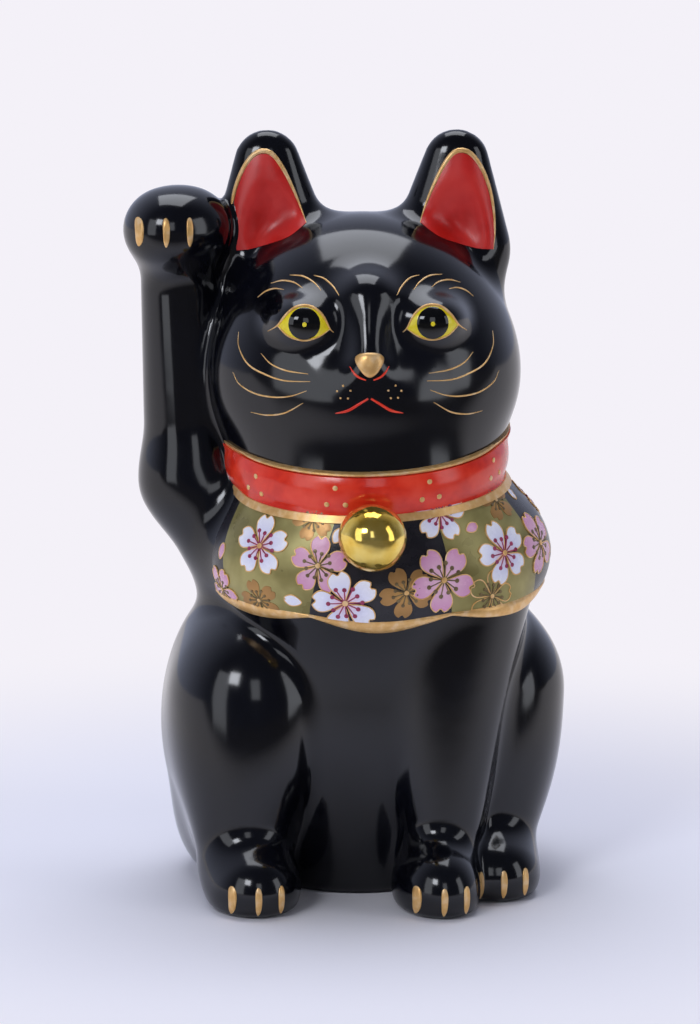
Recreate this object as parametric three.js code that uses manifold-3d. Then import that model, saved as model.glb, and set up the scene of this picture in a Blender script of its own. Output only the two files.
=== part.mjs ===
// A beckoning cat: a hollow ceramic figurine, 280 mm tall, seated, with its right forepaw raised.
// Millimetres, +Z up. The body faces -Y, the cat's own right is -X, and the origin is the middle of the
// figurine's box on the surface that it stands on.
//
// Every casting is a smooth blend of a few round masses, given as a signed distance: below zero inside
// the clay, zero on its skin, above zero outside. A casting's solid is a sphere, a cylinder or a capsule
// whose vertices slide along their own rays until they meet that skin. The same distance, read a little
// further out, gives the seat of every piece that lies on the skin, so all of them follow a changed size.
import * as THREE from "three";
import { mergeVertices } from "three/addons/utils/BufferGeometryUtils.js";
import Module from "manifold-3d";

const wasm = await Module();
wasm.setup();

// ---------------------------------------------------------------- driving dimensions, in millimetres
const WALL = 4.5; // thickness of the slip-cast clay
const GAP = 0.3; // slip line between two pieces
const GILT = 0.5; // thickness of a fired-on enamel or gilt area
const LINE = 0.45; // half thickness of a gilt line

const NECK = { y: -7, height: 159, radius: 44, tiltDeg: 7 }; // middle of the collar
const TRUNK = { y: -3, bottom: 9, radius: 46 };
const CHEST = { drop: 35, halfWidth: 62, halfDepth: 46, halfHeight: 37, x: 4, y: -15 };
const RUMP = { height: 70, halfWidth: 55, halfDepth: 56, halfHeight: 68, y: 18 };
const HAUNCH = { x: 43, y: 4, height: 62, halfWidth: 31, halfDepth: 44, halfHeight: 52, leanDeg: 4 };
const SHANK = { x: 47, y: -15, top: 74, topRadius: 24, bottom: 18, bottomRadius: 15 };
const HIND_FOOT = { x: 49.5, y: -30, height: 12, halfWidth: 16.5, halfLength: 19, halfHeight: 17 };
const HEEL = { x: 45, y: 14, height: 20, halfWidth: 21, halfLength: 34, halfHeight: 24 };
const FORELEG = { x: 19.5, footY: -44, top: 106, topX: 25, topY: -27, topRadius: 30, radius: 13.5 };
const FORE_FOOT = { y: -52, height: 13, halfWidth: 15.8, halfLength: 17.5, halfHeight: 17 };

const HEAD = { y: -2, rise: 37, yawDeg: -11.5 }; // centre of the head above the collar's middle
const SKULL = { halfWidth: 54.5, halfDepth: 45.5, halfHeight: 50.5, y: 1, z: 2 };
const CHEEKS = { halfWidth: 56.3, halfDepth: 45.5, halfHeight: 44, y: -2.5, z: -9 };
const MUZZLE = { y: -36, z: -10, halfWidth: 20, halfDepth: 17, halfHeight: 15 };
const BRIDGE = { low: { y: -47, z: 5, radius: 7.5 }, high: { y: -38, z: 24, radius: 9 } };
const EYE = { x: 22.7, y: -33.5, z: 17.3, swellWidth: 13, swellDepth: 14, swellHeight: 9.5 };
const EYE_OPENING = { halfWidth: 9.6, top: 6.2, bottom: 5.9, tilt: 0.6, iris: 5.6 };
const EAR = { tipX: 34.6, tipZ: 70, tipRadius: 12, rootX: 32.7, rootZ: 38, rootRadius: 22, y: 6 };
const EAR_FLATNESS = 1.7; // how many times wider than deep an ear is
const EAR_PANEL = { outerX: 47.5, outerZ: 39, topX: 36.5, topZ: 74, innerX: 20.5, innerZ: 49.5 };

const SHOULDER = { x: 40, y: 7, drop: 37, radius: 22 }; // below the collar's middle
const ELBOW = { x: 61.6, y: 15.4, drop: 7, radius: 18.2 };
const WRIST = { x: 65.2, y: 16, rise: 77, radius: 12.6 }; // above the collar's middle
const PAW = { x: 70, y: 7, rise: 84, halfWidth: 16.8, halfDepth: 18, halfHeight: 15.6 };
const TAIL = [
  { x: 14, y: 66, z: 14, radius: 12 },
  { x: 34, y: 66, z: 16, radius: 12 },
  { x: 50, y: 55, z: 22, radius: 11 },
  { x: 56, y: 42, z: 34, radius: 10 },
];

const COLLAR = { height: 11.4, radius: 51.2, bulge: 1, topCord: 0.8, border: 2.1 };
const BIB = { thickness: 1.2, lowest: 103, cusp: 108.5, side: 113.5, sideDepth: 3 };
const BIB_EDGES_DEG = [-125.5, -70.5, -21, 48, 116, 185]; // where its scallops meet
const BIB_HEM = 3.2; // widest height of the gilt hem
const BELL = { radius: 12.2, x: -12.5, z: 139.5, sink: 5 };
const CLAW = { length: 10.4, width: 3, pitch: 8.6, height: 8 };
const BASE = { thickness: 5, ventRadius: 6, ventY: 10 };

// ---------------------------------------------------------------- signed distances
const vec = (x, y, z) => new THREE.Vector3(x, y, z);
const radians = THREE.MathUtils.degToRad;

function smoothMin(a, b, k) {
  const h = Math.max(k - Math.abs(a - b), 0) / k;
  return Math.min(a, b) - (h * h * k) / 4;
}

// Masses joined one after the other, each with a soft fillet of its own size.
function blend(first, ...rest) {
  return (p) => rest.reduce((d, [k, field]) => smoothMin(d, field(p), k), first(p));
}

// A mass with another one taken out of it, the edge rounded by k.
function carve(k, field, cutter) {
  return (p) => -smoothMin(-field(p), cutter(p), k);
}

function ellipsoid(centre, radii, turn = new THREE.Euler()) {
  const place = new THREE.Matrix4().makeRotationFromEuler(turn).setPosition(centre).invert();
  const q = vec(0, 0, 0);
  return (p) => {
    q.copy(p).applyMatrix4(place).divide(radii);
    const reach = q.length();
    const slope = q.divide(radii).length();
    return slope < 1e-9 ? -Math.min(radii.x, radii.y, radii.z) : (reach * (reach - 1)) / slope;
  };
}

// A ball of radius ra at a, one of radius rb at b, and the cone that touches both.
function limb(a, b, ra, rb) {
  const axis = b.clone().sub(a);
  const length = axis.length();
  axis.normalize();
  const slope = (ra - rb) / length;
  const across = Math.sqrt(1 - slope * slope);
  const q = vec(0, 0, 0);
  return (p) => {
    q.copy(p).sub(a);
    const along = q.dot(axis);
    const out = Math.sqrt(Math.max(q.lengthSq() - along * along, 0));
    const reach = along - (out * slope) / across;
    if (reach < 0) return Math.hypot(along, out) - ra;
    if (reach > length) return Math.hypot(along - length, out) - rb;
    return out * across + along * slope - ra;
  };
}

// A field given in a frame of its own.
function inFrame(frame, field) {
  const back = frame.clone().invert();
  const q = vec(0, 0, 0);
  return (p) => field(q.copy(p).applyMatrix4(back));
}

// ---------------------------------------------------------------- the masses of the cat
const headFrame = new THREE.Matrix4()
  .makeRotationZ(radians(HEAD.yawDeg))
  .setPosition(0, HEAD.y, NECK.height + HEAD.rise);
const neckFrame = new THREE.Matrix4()
  .makeRotationX(radians(NECK.tiltDeg))
  .setPosition(0, NECK.y, NECK.height);
const neckOnHead = vec(0, NECK.y, NECK.height).applyMatrix4(headFrame.clone().invert());

function headMasses() {
  const eye = (side) =>
    ellipsoid(vec(side * EYE.x, EYE.y, EYE.z), vec(EYE.swellWidth, EYE.swellDepth, EYE.swellHeight));
  const socket = (side) => ellipsoid(vec(side * (EYE.x - 9.2), -58, EYE.z - 2.3), vec(7, 12, 11));
  const { low, high } = BRIDGE;
  let face = blend(
    ellipsoid(vec(0, SKULL.y, SKULL.z), vec(SKULL.halfWidth, SKULL.halfDepth, SKULL.halfHeight)),
    [12, ellipsoid(vec(0, CHEEKS.y, CHEEKS.z), vec(CHEEKS.halfWidth, CHEEKS.halfDepth, CHEEKS.halfHeight))],
    [12, ellipsoid(vec(0, MUZZLE.y, MUZZLE.z), vec(MUZZLE.halfWidth, MUZZLE.halfDepth, MUZZLE.halfHeight))],
    [10, limb(vec(0, low.y, low.z), vec(0, high.y, high.z), low.radius, high.radius)],
  );
  for (const side of [-1, 1]) face = blend(carve(9, face, socket(side)), [6, eye(side)]);
  const throat = limb(vec(0, 0, -10), neckOnHead, 44, NECK.radius - 1);
  return inFrame(headFrame, blend(face, [10, throat]));
}

function earMasses(side) {
  const flatten = new THREE.Matrix4().makeScale(1, 1 / EAR_FLATNESS, 1).setPosition(0, EAR.y, 0);
  const cone = limb(
    vec(side * EAR.tipX, 0, EAR.tipZ),
    vec(side * EAR.rootX, 0, EAR.rootZ),
    EAR.tipRadius,
    EAR.rootRadius,
  );
  const flat = inFrame(flatten, cone);
  const dish = ellipsoid(
    vec(side * EAR.tipX, EAR.y - 36.5, EAR.tipZ - 24),
    vec(20.5, 30.5, 34),
    new THREE.Euler(radians(-3), radians(side * 4), radians(side * 6)),
  );
  return inFrame(headFrame, carve(3.5, (p) => flat(p) / 1.3, dish));
}

const chestAt = vec(CHEST.x, CHEST.y, NECK.height - CHEST.drop);
const trunk = blend(
  limb(vec(0, NECK.y, NECK.height - 2), vec(0, TRUNK.y, TRUNK.bottom), NECK.radius - 0.5, TRUNK.radius),
  [16, ellipsoid(chestAt, vec(CHEST.halfWidth, CHEST.halfDepth, CHEST.halfHeight))],
  [24, ellipsoid(vec(0, RUMP.y, RUMP.height), vec(RUMP.halfWidth, RUMP.halfDepth, RUMP.halfHeight))],
);

// Thigh, shank, hind foot and heel of one side.
function haunchMasses(side) {
  const thigh = ellipsoid(
    vec(side * HAUNCH.x, HAUNCH.y, HAUNCH.height),
    vec(HAUNCH.halfWidth, HAUNCH.halfDepth, HAUNCH.halfHeight),
    new THREE.Euler(0, radians(-side * HAUNCH.leanDeg), 0),
  );
  const shank = limb(
    vec(side * SHANK.x, SHANK.y, SHANK.top),
    vec(side * SHANK.x, SHANK.y - 5, SHANK.bottom),
    SHANK.topRadius,
    SHANK.bottomRadius,
  );
  const foot = ellipsoid(
    vec(side * HIND_FOOT.x, HIND_FOOT.y, HIND_FOOT.height),
    vec(HIND_FOOT.halfWidth, HIND_FOOT.halfLength, HIND_FOOT.halfHeight),
  );
  const heel = ellipsoid(
    vec(side * HEEL.x, HEEL.y, HEEL.height),
    vec(HEEL.halfWidth, HEEL.halfLength, HEEL.halfHeight),
  );
  return blend(thigh, [14, shank], [6, foot], [14, heel]);
}

const legTop = vec(FORELEG.topX, FORELEG.topY, FORELEG.top);
const legLow = vec(FORELEG.x, FORELEG.footY, 22);
const foreleg = blend(limb(legLow, legTop, FORELEG.radius, FORELEG.topRadius), [
  5,
  ellipsoid(
    vec(FORELEG.x, FORE_FOOT.y, FORE_FOOT.height),
    vec(FORE_FOOT.halfWidth, FORE_FOOT.halfLength, FORE_FOOT.halfHeight),
  ),
]);

const shoulderAt = vec(-SHOULDER.x, SHOULDER.y, NECK.height - SHOULDER.drop);
const elbowAt = vec(-ELBOW.x, ELBOW.y, NECK.height - ELBOW.drop);
const wristAt = vec(-WRIST.x, WRIST.y, NECK.height + WRIST.rise);
const pawAt = vec(-PAW.x, PAW.y, NECK.height + PAW.rise);

function armMasses() {
  const turn = new THREE.Euler(0, 0, radians(-10));
  return blend(
    limb(wristAt, elbowAt, WRIST.radius, ELBOW.radius),
    [10, limb(elbowAt, shoulderAt, ELBOW.radius, SHOULDER.radius)],
    [8, ellipsoid(pawAt, vec(PAW.halfWidth, PAW.halfDepth, PAW.halfHeight), turn)],
    [8, ellipsoid(pawAt.clone().add(vec(10, 2, 0)), vec(13, 14, 13.5))],
  );
}

const tailPoints = TAIL.map((t) => vec(t.x, t.y, t.z));

function tailMasses() {
  const links = TAIL.slice(1).map((to, i) =>
    limb(tailPoints[i], tailPoints[i + 1], TAIL[i].radius, to.radius),
  );
  return blend(links[0], ...links.slice(1).map((link) => [4, link]));
}

const head = headMasses();
const haunches = [-1, 1].map(haunchMasses);
const body = blend(trunk, [5, haunches[0]], [5, haunches[1]], [6, foreleg]);
const arm = armMasses();
const tail = tailMasses();
const ears = { right: earMasses(-1), left: earMasses(1) };

// ---------------------------------------------------------------- solids
function solid(geometry) {
  const bare = geometry.clone();
  bare.deleteAttribute("normal");
  bare.deleteAttribute("uv");
  const merged = mergeVertices(bare, 1e-4);
  const vertProperties = Float32Array.from(merged.attributes.position.array);
  const triVerts = Uint32Array.from(merged.index.array);
  return new wasm.Manifold(new wasm.Mesh({ numProp: 3, vertProperties, triVerts }));
}

function geometryOf(manifold) {
  const mesh = manifold.getMesh();
  const geometry = new THREE.BufferGeometry();
  geometry.setAttribute("position", new THREE.BufferAttribute(mesh.vertProperties, 3));
  geometry.setIndex(new THREE.BufferAttribute(mesh.triVerts, 1));
  geometry.computeVertexNormals();
  return geometry;
}

const moved = (geometry, matrix) => solid(geometry.clone().applyMatrix4(matrix));

// The outermost point of a skin on the ray from a seed inside it.
const REACH = 190;
function meet(field, seed, direction, offset) {
  const p = vec(0, 0, 0);
  let t = REACH;
  for (let step = 0; step < 200; step += 1) {
    p.copy(seed).addScaledVector(direction, t);
    const d = field(p) - offset;
    if (Math.abs(d) < 0.004) break;
    t -= d * 0.7;
    if (t < 0.5) break;
  }
  return seed.clone().addScaledVector(direction, Math.max(t, 0.5));
}

function slideTo(geometry, field, offset, rayOf) {
  const place = geometry.attributes.position;
  const v = vec(0, 0, 0);
  for (let i = 0; i < place.count; i += 1) {
    const { seed, direction } = rayOf(v.fromBufferAttribute(place, i));
    if (direction.length() < 1e-6) place.setXYZ(i, seed.x, seed.y, seed.z);
    else {
      const to = meet(field, seed, direction.normalize(), offset);
      place.setXYZ(i, to.x, to.y, to.z);
    }
  }
  return solid(geometry);
}

// A ball around one seed. Its poles point at the face and at the back, so the face has the finest net.
function ballSkin(field, frame, seed, offset, around, along) {
  const turn = new THREE.Matrix4().extractRotation(frame);
  const centre = seed.clone().applyMatrix4(frame);
  const geometry = new THREE.SphereGeometry(1, around, along);
  return slideTo(geometry, field, offset, (v) => ({
    seed: centre,
    direction: v.clone().applyMatrix4(turn),
  }));
}

// A stack of level slices around an upright axis.
function towerSkin(field, axisY, bottom, top, offset, around, levels) {
  const geometry = new THREE.CylinderGeometry(1, 1, 1, around, levels);
  return slideTo(geometry, field, offset, (v) => ({
    seed: vec(0, axisY, THREE.MathUtils.mapLinear(v.y, -0.5, 0.5, bottom, top)),
    direction: vec(v.x, -v.z, 0),
  }));
}

// A round-ended sleeve along a curve.
function sleeveSkin(field, curve, offset, around, along) {
  const geometry = new THREE.CapsuleGeometry(1, 2, 4, around, along);
  return slideTo(geometry, field, offset, (v) => {
    const t = THREE.MathUtils.clamp((v.y + 1) / 2, 0, 1);
    const forward = curve.getTangentAt(t);
    const side = vec(0, -1, 0).cross(forward).normalize();
    const up = side.clone().cross(forward);
    const beyond = v.y - THREE.MathUtils.clamp(v.y, -1, 1);
    const direction = side.multiplyScalar(v.x).addScaledVector(up, v.z).addScaledVector(forward, beyond);
    return { seed: curve.getPointAt(t), direction };
  });
}

const skins = new Map();
function cached(name, offset, make) {
  const key = `${name} ${offset.toFixed(3)}`;
  if (!skins.has(key)) skins.set(key, make());
  return skins.get(key);
}

const BODY_TOP = NECK.height + 14;
const TRUNK_AXIS_Y = -6;
const headSkin = (offset) =>
  cached("head", offset, () => ballSkin(head, headFrame, vec(0, 0, 0), offset, 32, 24));
const haunchCurve = (side) =>
  new THREE.LineCurve3(
    vec(side * HEEL.x, (HEEL.y + HIND_FOOT.y) / 2, HIND_FOOT.height + 6),
    vec(side * HAUNCH.x, HAUNCH.y, HAUNCH.height + 12),
  );
const forelegCurve = new THREE.LineCurve3(legLow, legTop);

const limbSkins = (offset, net) => {
  const legs = [-1, 1].map((side, i) =>
    sleeveSkin(haunches[i], haunchCurve(side), offset, net.around, net.along),
  );
  return legs[0].add(legs[1]).add(sleeveSkin(foreleg, forelegCurve, offset, net.around, net.along));
};
const trunkSkin = (offset, net) =>
  towerSkin(trunk, TRUNK_AXIS_Y, -1, BODY_TOP + 1, offset, net.trunkAround, net.trunkLevels);

const fineNet = { trunkAround: 36, trunkLevels: 11, around: 18, along: 5 };
const coarseNet = { trunkAround: 18, trunkLevels: 6, around: 9, along: 3 };
const bodySkin = (offset) =>
  cached("body", offset, () =>
    trunkSkin(offset, fineNet).add(limbSkins(offset, fineNet)).intersect(betweenLevels(0, BODY_TOP)),
  );
const armCurve = new THREE.CatmullRomCurve3([shoulderAt, elbowAt, wristAt, pawAt]);
const armSkin = (offset) => cached("arm", offset, () => sleeveSkin(arm, armCurve, offset, 14, 14));
const tailCurve = new THREE.CatmullRomCurve3(tailPoints);
const tailSkin = (offset) => cached("tail", offset, () => sleeveSkin(tail, tailCurve, offset, 12, 6));
const earCurve = (side) =>
  new THREE.LineCurve3(
    vec(side * EAR.rootX, EAR.y + 4, EAR.rootZ).applyMatrix4(headFrame),
    vec(side * EAR.tipX, EAR.y + 2, EAR.tipZ).applyMatrix4(headFrame),
  );
const earSkin = (name, side, offset) =>
  cached(`${name} ear`, offset, () => sleeveSkin(ears[name], earCurve(side), offset, 16, 3));

// Everything above (sign 1) or below (sign -1) a plane square to the neck, this far along it.
function beyondNeck(distance, sign) {
  const half = 400;
  const block = new THREE.BoxGeometry(half * 2, half * 2, half * 2);
  block.translate(0, 0, distance + sign * half);
  return moved(block, neckFrame);
}

function betweenLevels(bottom, top) {
  const slab = new THREE.BoxGeometry(400, 400, top - bottom);
  slab.translate(0, 0, (top + bottom) / 2);
  return solid(slab);
}

// ---------------------------------------------------------------- pieces on a skin
// Where a skin is met by a ray through (x, z) of a frame, seen from in front of it.
function onFront(field, frame, x, z, lift) {
  const seed = vec(x, 0, z).applyMatrix4(frame);
  const forward = vec(0, -1, 0).transformDirection(frame);
  return meet(field, seed, forward, lift);
}

// A thin area with the outline of a shape, lying on the front of a skin. The shape is drawn in a
// frame's XZ plane, and its prism reaches from one depth to another in front of that plane.
function inlay(shape, frame, skinAt, lift, thickness, near = 0, far = 120) {
  const options = { depth: far - near, bevelEnabled: false, curveSegments: 4 };
  const prism = new THREE.ExtrudeGeometry(shape, options);
  prism.rotateX(Math.PI / 2).translate(0, -near, 0);
  return moved(prism, frame)
    .intersect(skinAt(lift + thickness))
    .subtract(skinAt(lift));
}

// A round line of gilt or enamel laid along points of a skin.
function line(points, radius, steps) {
  const section = new THREE.Shape().absarc(0, 0, radius, 0, Math.PI * 2);
  const path = new THREE.CatmullRomCurve3(points);
  return solid(
    new THREE.ExtrudeGeometry(section, { extrudePath: path, steps, curveSegments: 3, bevelEnabled: false }),
  );
}

function lineOnHead(places, radius, steps) {
  const lift = GAP * 2 + radius;
  return line(
    places.map(([x, z]) => onFront(head, headFrame, x, z, lift)),
    radius,
    steps,
  );
}

// ---------------------------------------------------------------- castings
function bodyCasting() {
  const limbs = limbSkins(-WALL, coarseNet).intersect(betweenLevels(BASE.thickness, BODY_TOP));
  const hollow = trunkSkin(-WALL, coarseNet).add(limbs);
  return bodySkin(0).subtract(hollow).intersect(beyondNeck(-GAP / 2, -1));
}

function baseSlab() {
  const vent = new THREE.CylinderGeometry(BASE.ventRadius, BASE.ventRadius, 60, 24);
  vent.rotateX(Math.PI / 2);
  vent.translate(0, BASE.ventY, 0);
  return trunkSkin(-WALL - GAP, coarseNet)
    .intersect(betweenLevels(0, BASE.thickness))
    .subtract(solid(vent));
}

function headCasting() {
  const cavity = cached("head hollow", -WALL, () =>
    ballSkin(head, headFrame, vec(0, 0, 0), -WALL, 14, 9),
  );
  return headSkin(0).subtract(cavity).intersect(beyondNeck(GAP / 2, 1));
}

const raisedArm = () => armSkin(0).subtract(bodySkin(GAP)).subtract(headSkin(GAP));
const tailPiece = () => tailSkin(0).subtract(bodySkin(GAP)).intersect(betweenLevels(0, 200));
const earPiece = (name, side) =>
  earSkin(name, side, 0).subtract(headSkin(GAP)).subtract(armSkin(GAP));

// ---------------------------------------------------------------- collar, bib and bell
// A ring square to the neck, between two heights along it. Its outside swells by a bulge, and always
// stands proud of the skins under it.
function neckRing(bottom, top, radius, bulge, proud) {
  const inner = NECK.radius - 5;
  const profile = [new THREE.Vector2(inner, bottom)];
  for (let i = 0; i <= 3; i += 1) {
    const swell = bulge * Math.sin((Math.PI * i) / 3);
    profile.push(new THREE.Vector2(radius + swell, THREE.MathUtils.lerp(bottom, top, i / 3)));
  }
  profile.push(new THREE.Vector2(inner, top), new THREE.Vector2(inner, bottom));
  const ring = new THREE.LatheGeometry(profile, 30);
  ring.rotateX(Math.PI / 2);
  const place = ring.attributes.position;
  const under = (p) => Math.min(body(p), head(p));
  for (let i = 0; i < place.count; i += 1) {
    const v = vec(0, 0, 0).fromBufferAttribute(place, i);
    const reach = Math.hypot(v.x, v.y);
    if (reach < inner + 1) continue;
    const seed = vec(0, 0, v.z).applyMatrix4(neckFrame);
    const direction = vec(v.x, v.y, 0).transformDirection(neckFrame);
    const least = meet(under, seed, direction, GAP + proud).distanceTo(seed);
    const scale = Math.max(reach, least) / reach;
    place.setXYZ(i, v.x * scale, v.y * scale, v.z);
  }
  return moved(ring, neckFrame)
    .subtract(headSkin(GAP))
    .subtract(bodySkin(GAP))
    .subtract(armSkin(GAP));
}

const halfCollar = COLLAR.height / 2;
const cordTop = halfCollar + GAP + COLLAR.topCord * 2;
const borderBottom = -halfCollar - GAP - COLLAR.border;
const collarBand = () => neckRing(-halfCollar, halfCollar, COLLAR.radius, COLLAR.bulge, 1.6);
const collarTop = () => neckRing(halfCollar + GAP, cordTop, COLLAR.radius - 0.6, 0.3, 1.2);
const collarBorder = () => neckRing(borderBottom, -halfCollar - GAP, COLLAR.radius - 0.4, 0.3, 1.4);

// Height of the bib's scalloped edge at a bearing seen from above.
function hemHeight(bearing) {
  const turned = THREE.MathUtils.euclideanModulo(bearing - BIB_EDGES_DEG[0], 360) + BIB_EDGES_DEG[0];
  const starts = BIB_EDGES_DEG.filter((edge) => edge <= turned);
  const from = starts[starts.length - 1];
  const to = BIB_EDGES_DEG[starts.length] ?? BIB_EDGES_DEG[0] + 360;
  const front = (BIB_EDGES_DEG[0] + BIB_EDGES_DEG[1]) / 2;
  const aside = (1 - Math.cos(radians(bearing - front))) / 2;
  const level = BIB.cusp + (BIB.side - BIB.cusp) * Math.min(1, 2 * aside);
  const depth = from === BIB_EDGES_DEG[0] ? BIB.cusp - BIB.lowest : BIB.sideDepth;
  return level - depth * Math.sin((Math.PI * (turned - from)) / (to - from));
}

// Share of the hem's full height at a bearing: none where two scallops meet.
function hemShare(bearing) {
  const turned = THREE.MathUtils.euclideanModulo(bearing - BIB_EDGES_DEG[0], 360) + BIB_EDGES_DEG[0];
  const starts = BIB_EDGES_DEG.filter((edge) => edge <= turned);
  const from = starts[starts.length - 1];
  const to = BIB_EDGES_DEG[starts.length] ?? BIB_EDGES_DEG[0] + 360;
  return Math.sin((Math.PI * (turned - from)) / (to - from));
}

// A wide ring under the bib whose top follows a height given for each bearing.
function underHem(heightAt) {
  const inner = 20;
  const outer = 120;
  const profile = [[inner, 0], [outer, 0], [outer, 1], [inner, 1], [inner, 0]];
  const ring = new THREE.LatheGeometry(profile.map(([r, z]) => new THREE.Vector2(r, z)), 30);
  ring.rotateX(Math.PI / 2);
  const place = ring.attributes.position;
  for (let i = 0; i < place.count; i += 1) {
    const bearing = THREE.MathUtils.radToDeg(Math.atan2(place.getY(i), place.getX(i)));
    place.setZ(i, place.getZ(i) > 0.5 ? heightAt(bearing) : -20);
  }
  ring.translate(0, TRUNK_AXIS_Y, 0);
  return solid(ring);
}

const bibLayer = () =>
  bodySkin(GAP + BIB.thickness)
    .subtract(bodySkin(GAP))
    .subtract(armSkin(GAP))
    .intersect(beyondNeck(borderBottom - GAP, -1));
const bibPiece = () => bibLayer().subtract(underHem((b) => hemHeight(b) + 1 + BIB_HEM * hemShare(b)));
const bibHem = () =>
  bibLayer()
    .intersect(underHem((b) => hemHeight(b) + 1 - GAP + BIB_HEM * hemShare(b)))
    .subtract(underHem(hemHeight));

function bellPiece() {
  const level = new THREE.Matrix4().makeTranslation(BELL.x, TRUNK_AXIS_Y, BELL.z);
  const seat = onFront(body, level, 0, 0, GAP + BIB.thickness + BELL.radius - BELL.sink);
  const ball = new THREE.SphereGeometry(BELL.radius, 18, 12).translate(seat.x, seat.y, seat.z);
  const collar = neckRing(borderBottom - GAP, halfCollar + GAP, COLLAR.radius + GAP, COLLAR.bulge, 2);
  return solid(ball).subtract(bodySkin(GAP + BIB.thickness + GAP)).subtract(collar);
}

// ---------------------------------------------------------------- enamels and gilt
const earName = (side) => (side < 0 ? "right" : "left");

// The arch of the red panel, from its outer foot over the top to its inner foot.
function earArch(side) {
  const { outerX, outerZ, topX, topZ, innerX, innerZ } = EAR_PANEL;
  const arch = new THREE.Shape();
  arch.moveTo(side * outerX, outerZ);
  arch.bezierCurveTo(side * (outerX + 1), outerZ + 18, side * (topX + 9), topZ, side * topX, topZ);
  arch.bezierCurveTo(side * (topX - 7), topZ, side * (innerX + 5), innerZ + 15, side * innerX, innerZ);
  return arch;
}

function earEnamel(side) {
  const panel = earArch(side);
  const { outerX, outerZ, innerX, innerZ } = EAR_PANEL;
  const lowX = (outerX + innerX) / 2;
  panel.quadraticCurveTo(side * lowX, (outerZ + innerZ) / 2 - 2, side * outerX, outerZ);
  const skinAt = (offset) => earSkin(earName(side), side, offset);
  return inlay(panel, headFrame, skinAt, GAP, GILT).subtract(headSkin(GAP)).subtract(armSkin(GAP));
}

function earGilt(side) {
  const radius = 0.8;
  const points = earArch(side)
    .getSpacedPoints(12)
    .slice(2, -1)
    .map((point) => {
      const away = point.clone().sub(new THREE.Vector2(side * 34, 50)).setLength(radius + 0.5);
      const at = point.add(away);
      return onFront(ears[earName(side)], headFrame, at.x, at.y, GAP + radius);
    });
  return line(points, radius, 14).subtract(headSkin(GAP)).subtract(armSkin(GAP));
}

function eyeOpening(side) {
  const { halfWidth, top, bottom, tilt } = EYE_OPENING;
  const inner = new THREE.Vector2(side * (EYE.x - halfWidth), EYE.z - 1.2);
  const outer = new THREE.Vector2(side * (EYE.x + halfWidth), EYE.z - 1.2 + tilt);
  const upper = new THREE.CubicBezierCurve(
    inner,
    new THREE.Vector2(side * (EYE.x - halfWidth * 0.5), EYE.z + top * 1.35),
    new THREE.Vector2(side * (EYE.x + halfWidth * 0.5), EYE.z + top * 1.35),
    outer,
  );
  const lower = new THREE.CubicBezierCurve(
    outer,
    new THREE.Vector2(side * (EYE.x + halfWidth * 0.5), EYE.z - bottom * 1.25),
    new THREE.Vector2(side * (EYE.x - halfWidth * 0.5), EYE.z - bottom * 1.25),
    inner,
  );
  return { upper, lower };
}

function eyeEnamel(side) {
  const { upper, lower } = eyeOpening(side);
  const outline = new THREE.Shape([...upper.getPoints(10), ...lower.getPoints(10).slice(1, -1)]);
  return inlay(outline, headFrame, headSkin, GAP, GILT);
}

function pupil(side) {
  const disc = new THREE.Shape().absarc(side * EYE.x, EYE.z, EYE_OPENING.iris, 0, Math.PI * 2);
  return inlay(disc, headFrame, headSkin, GAP * 2 + GILT, GILT);
}

function lidGilt(side, which) {
  const curve = eyeOpening(side)[which];
  const away = which === "upper" ? 0.9 : -0.9;
  const places = curve.getPoints(8).map((point) => [point.x, point.y + away]);
  return lineOnHead(places, LINE, 8);
}

function noseGilt() {
  const top = 7.6;
  const low = -0.5;
  const half = 4.9;
  const outline = new THREE.Shape();
  outline.moveTo(0, low);
  outline.bezierCurveTo(-half * 0.6, low, -half, 3, -half, 5.4);
  outline.bezierCurveTo(-half, top, -2, top + 0.4, 0, top + 0.4);
  outline.bezierCurveTo(2, top + 0.4, half, top, half, 5.4);
  outline.bezierCurveTo(half, 3, half * 0.6, low, 0, low);
  return inlay(outline, headFrame, headSkin, GAP, GILT);
}

const MOUTH = [[0.9, -8.6], [3.6, -10.2], [7.4, -12.6], [12, -13.9]];
const WHISKERS = [
  [[38, 5.6], [34.5, 2.2], [29, 0.2], [21.5, -0.5]],
  [[45.8, 12], [45.8, 7], [42.5, 1.2], [36, -1.9], [29.5, -3.4], [20.8, -3.1]],
  [[48, -2.2], [45.8, -6.1], [40.3, -8.9], [33.3, -9.6], [27.5, -8.7], [22, -6.4]],
  [[41.7, -16], [36, -16.4], [29.7, -15], [23.3, -10.9]],
];

// A gilt claw: a spindle painted over the front of a paw.
function claw(field, skinAt, x, z) {
  const half = CLAW.length / 2;
  const outline = new THREE.Shape();
  outline.moveTo(x, z - half);
  outline.quadraticCurveTo(x + CLAW.width, z, x, z + half);
  outline.quadraticCurveTo(x - CLAW.width, z, x, z - half);
  const depth = -onFront(field, new THREE.Matrix4(), x, z, 0).y;
  return inlay(outline, new THREE.Matrix4(), skinAt, GAP, GILT, depth - 9, depth + 4);
}

// ---------------------------------------------------------------- materials
const finish = (color, roughness, metalness = 0) =>
  new THREE.MeshStandardMaterial({ color, roughness, metalness });
const blackGlaze = finish("#0b0b10", 0.08);
const redEnamel = finish("#c4201f", 0.2);
const collarRed = finish("#e03a25", 0.2);
const gilt = finish("#e8b96b", 0.28, 1);
const brightGilt = finish("#e5be5a", 0.12, 1);
const yellowEnamel = finish("#e8d21b", 0.25);
const bibEnamel = finish("#9a9455", 0.3);
const bareClay = finish("#d9cfc2", 0.9);

// ---------------------------------------------------------------- the assembly
const figurine = new THREE.Group();
figurine.name = "beckoning_cat";

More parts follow.
